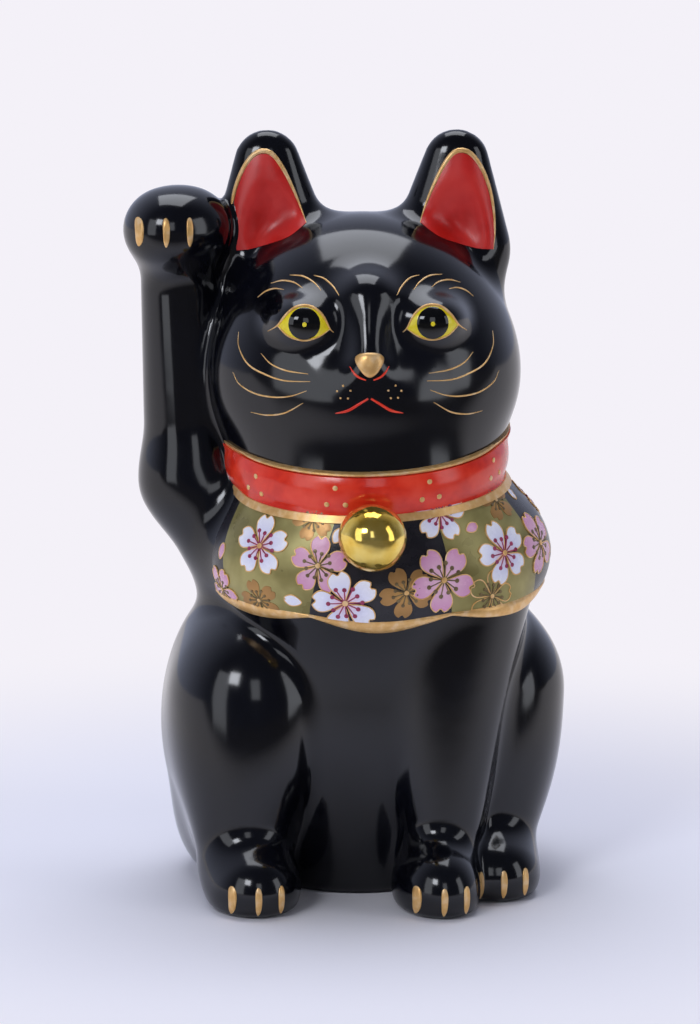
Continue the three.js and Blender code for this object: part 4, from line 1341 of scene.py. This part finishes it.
# %% Floor and world
BACKGROUND = linear("#F4F1F8")
bpy.ops.object.select_all(action="DESELECT")
bpy.ops.mesh.primitive_plane_add(size=60)
floor = bpy.context.object
floor.name = "floor"
floor.data.transform(Matrix.Translation((0, 0, -0.0002)))
sweep = bpy.data.materials.new("pale_sweep")
sweep.use_nodes = True
tree = sweep.node_tree
tree.nodes.clear()
paper = add_node(tree, "ShaderNodeBsdfDiffuse", sockets={"Color": linear("#F6F4FA")})
glow = add_node(tree, "ShaderNodeEmission", sockets={"Color": BACKGROUND, "Strength": 1.0})
place = add_node(tree, "ShaderNodeTexCoord").outputs["Object"]
away = add_node(
    tree, "ShaderNodeVectorMath", {"operation": "LENGTH"}, links={0: place}
).outputs["Value"]
far_off = add_node(
    tree,
    "ShaderNodeMapRange",
    {"interpolation_type": "SMOOTHSTEP"},
    sockets={"From Min": 0.1, "From Max": 0.42},
    links={"Value": away},
).outputs["Result"]
rays = add_node(tree, "ShaderNodeLightPath")
direct = add_node(
    tree,
    "ShaderNodeMath",
    {"operation": "MAXIMUM"},
    links={0: rays.outputs["Is Camera Ray"], 1: rays.outputs["Is Glossy Ray"]},
).outputs[0]
share = add_node(
    tree, "ShaderNodeMath", {"operation": "MULTIPLY"}, links={0: far_off, 1: direct}
).outputs[0]
sheet = add_node(
    tree,
    "ShaderNodeMixShader",
    links={0: share, 1: paper.outputs["BSDF"], 2: glow.outputs["Emission"]},
)
dark = add_node(tree, "ShaderNodeEmission", sockets={"Color": BACKGROUND, "Strength": 0.12})
across = add_node(tree, "ShaderNodeSeparateXYZ", links={0: place})
in_front = add_node(
    tree,
    "ShaderNodeMapRange",
    {"interpolation_type": "SMOOTHSTEP"},
    sockets={"From Min": -0.12, "From Max": -0.5},
    links={"Value": across.outputs["Y"]},
).outputs["Result"]
edge_share = add_node(
    tree,
    "ShaderNodeMath",
    {"operation": "MULTIPLY"},
    links={0: in_front, 1: rays.outputs["Is Glossy Ray"]},
).outputs[0]
sheet = add_node(
    tree,
    "ShaderNodeMixShader",
    links={0: edge_share, 1: sheet.outputs["Shader"], 2: dark.outputs["Emission"]},
)
add_node(tree, "ShaderNodeOutputMaterial", links={"Surface": sheet.outputs["Shader"]})
floor.data.materials.append(sweep)

room = bpy.data.worlds.new("studio")
bpy.context.scene.world = room
room.use_nodes = True
tree = room.node_tree
tree.nodes.clear()
path = add_node(tree, "ShaderNodeLightPath")
seen = add_node(tree, "ShaderNodeBackground", sockets={"Color": BACKGROUND, "Strength": 1.0})
toward = add_node(tree, "ShaderNodeTexCoord").outputs["Generated"]
parts = add_node(tree, "ShaderNodeSeparateXYZ", links={0: toward})
behind = add_node(
    tree,
    "ShaderNodeMapRange",
    {"interpolation_type": "SMOOTHSTEP"},
    sockets={"From Min": -0.35, "From Max": 0.75, "To Min": 0.1, "To Max": 0.95},
    links={"Value": parts.outputs["Y"]},
).outputs["Result"]
dim = add_node(
    tree,
    "ShaderNodeBackground",
    sockets={"Color": linear("#D3DAF5")},
    links={"Strength": behind},
)
mixed = add_node(
    tree,
    "ShaderNodeMixShader",
    links={0: path.outputs["Is Camera Ray"], 1: dim.outputs[0], 2: seen.outputs[0]},
)
add_node(tree, "ShaderNodeOutputWorld", links={"Surface": mixed.outputs[0]})


# %% Lamps
def softbox(name, at, aim, wide, tall, watts):
    lamp = bpy.data.lights.new(name, "AREA")
    lamp.shape = "RECTANGLE"
    lamp.size = wide
    lamp.size_y = tall
    lamp.energy = watts
    lamp.color = (0.9, 0.93, 1.0)
    holder = bpy.data.objects.new(name, lamp)
    bpy.context.scene.collection.objects.link(holder)
    holder.location = at
    holder.rotation_euler = (Vector(aim) - Vector(at)).to_track_quat("-Z", "Y").to_euler()


MIDDLE = (0.0, 0.0, 0.14)
softbox("key", (-1.15, -1.25, 1.2), MIDDLE, 0.5, 0.5, 9)
softbox("left_panel", (-1.35, -0.75, 0.5), MIDDLE, 0.6, 1.3, 4)
softbox("right_panel", (1.3, -1.0, 0.5), MIDDLE, 0.5, 1.3, 4)
softbox("front_panel", (-0.25, -2.0, 0.9), MIDDLE, 0.5, 0.9, 2.2)
softbox("top", (0.1, 0.3, 1.8), MIDDLE, 1.2, 1.0, 14)

# %% [markdown]
# ## Camera
# The camera looks at the cat from 14 degrees to its right and 10 degrees above, from a metre and a
# half away. The lens is long, so the cat is seen with little perspective.

# %% Camera
AZIMUTH, ELEVATION, DISTANCE = math.radians(-14), math.radians(10), 1.5
FRAME_TALL = 0.00037 * 1024
right_way = Vector((math.cos(AZIMUTH), math.sin(AZIMUTH), 0))
aim = Vector((MIDDLE_X * MM, 0, 0.137)) + right_way * (-11 * 0.00037)
back = Vector(
    (
        math.sin(AZIMUTH) * math.cos(ELEVATION),
        -math.cos(AZIMUTH) * math.cos(ELEVATION),
        math.sin(ELEVATION),
    )
)
lens = bpy.data.cameras.new("camera")
lens.sensor_fit = "VERTICAL"
lens.sensor_height = 36
lens.lens = 36 * DISTANCE / FRAME_TALL
camera = bpy.data.objects.new("camera", lens)
bpy.context.scene.collection.objects.link(camera)
camera.location = aim + back * DISTANCE
camera.rotation_euler = (-back).to_track_quat("-Z", "Y").to_euler()
bpy.context.scene.camera = camera
bpy.context.scene.view_settings.view_transform = "Standard"
print("lens", round(lens.lens, 1), "mm")
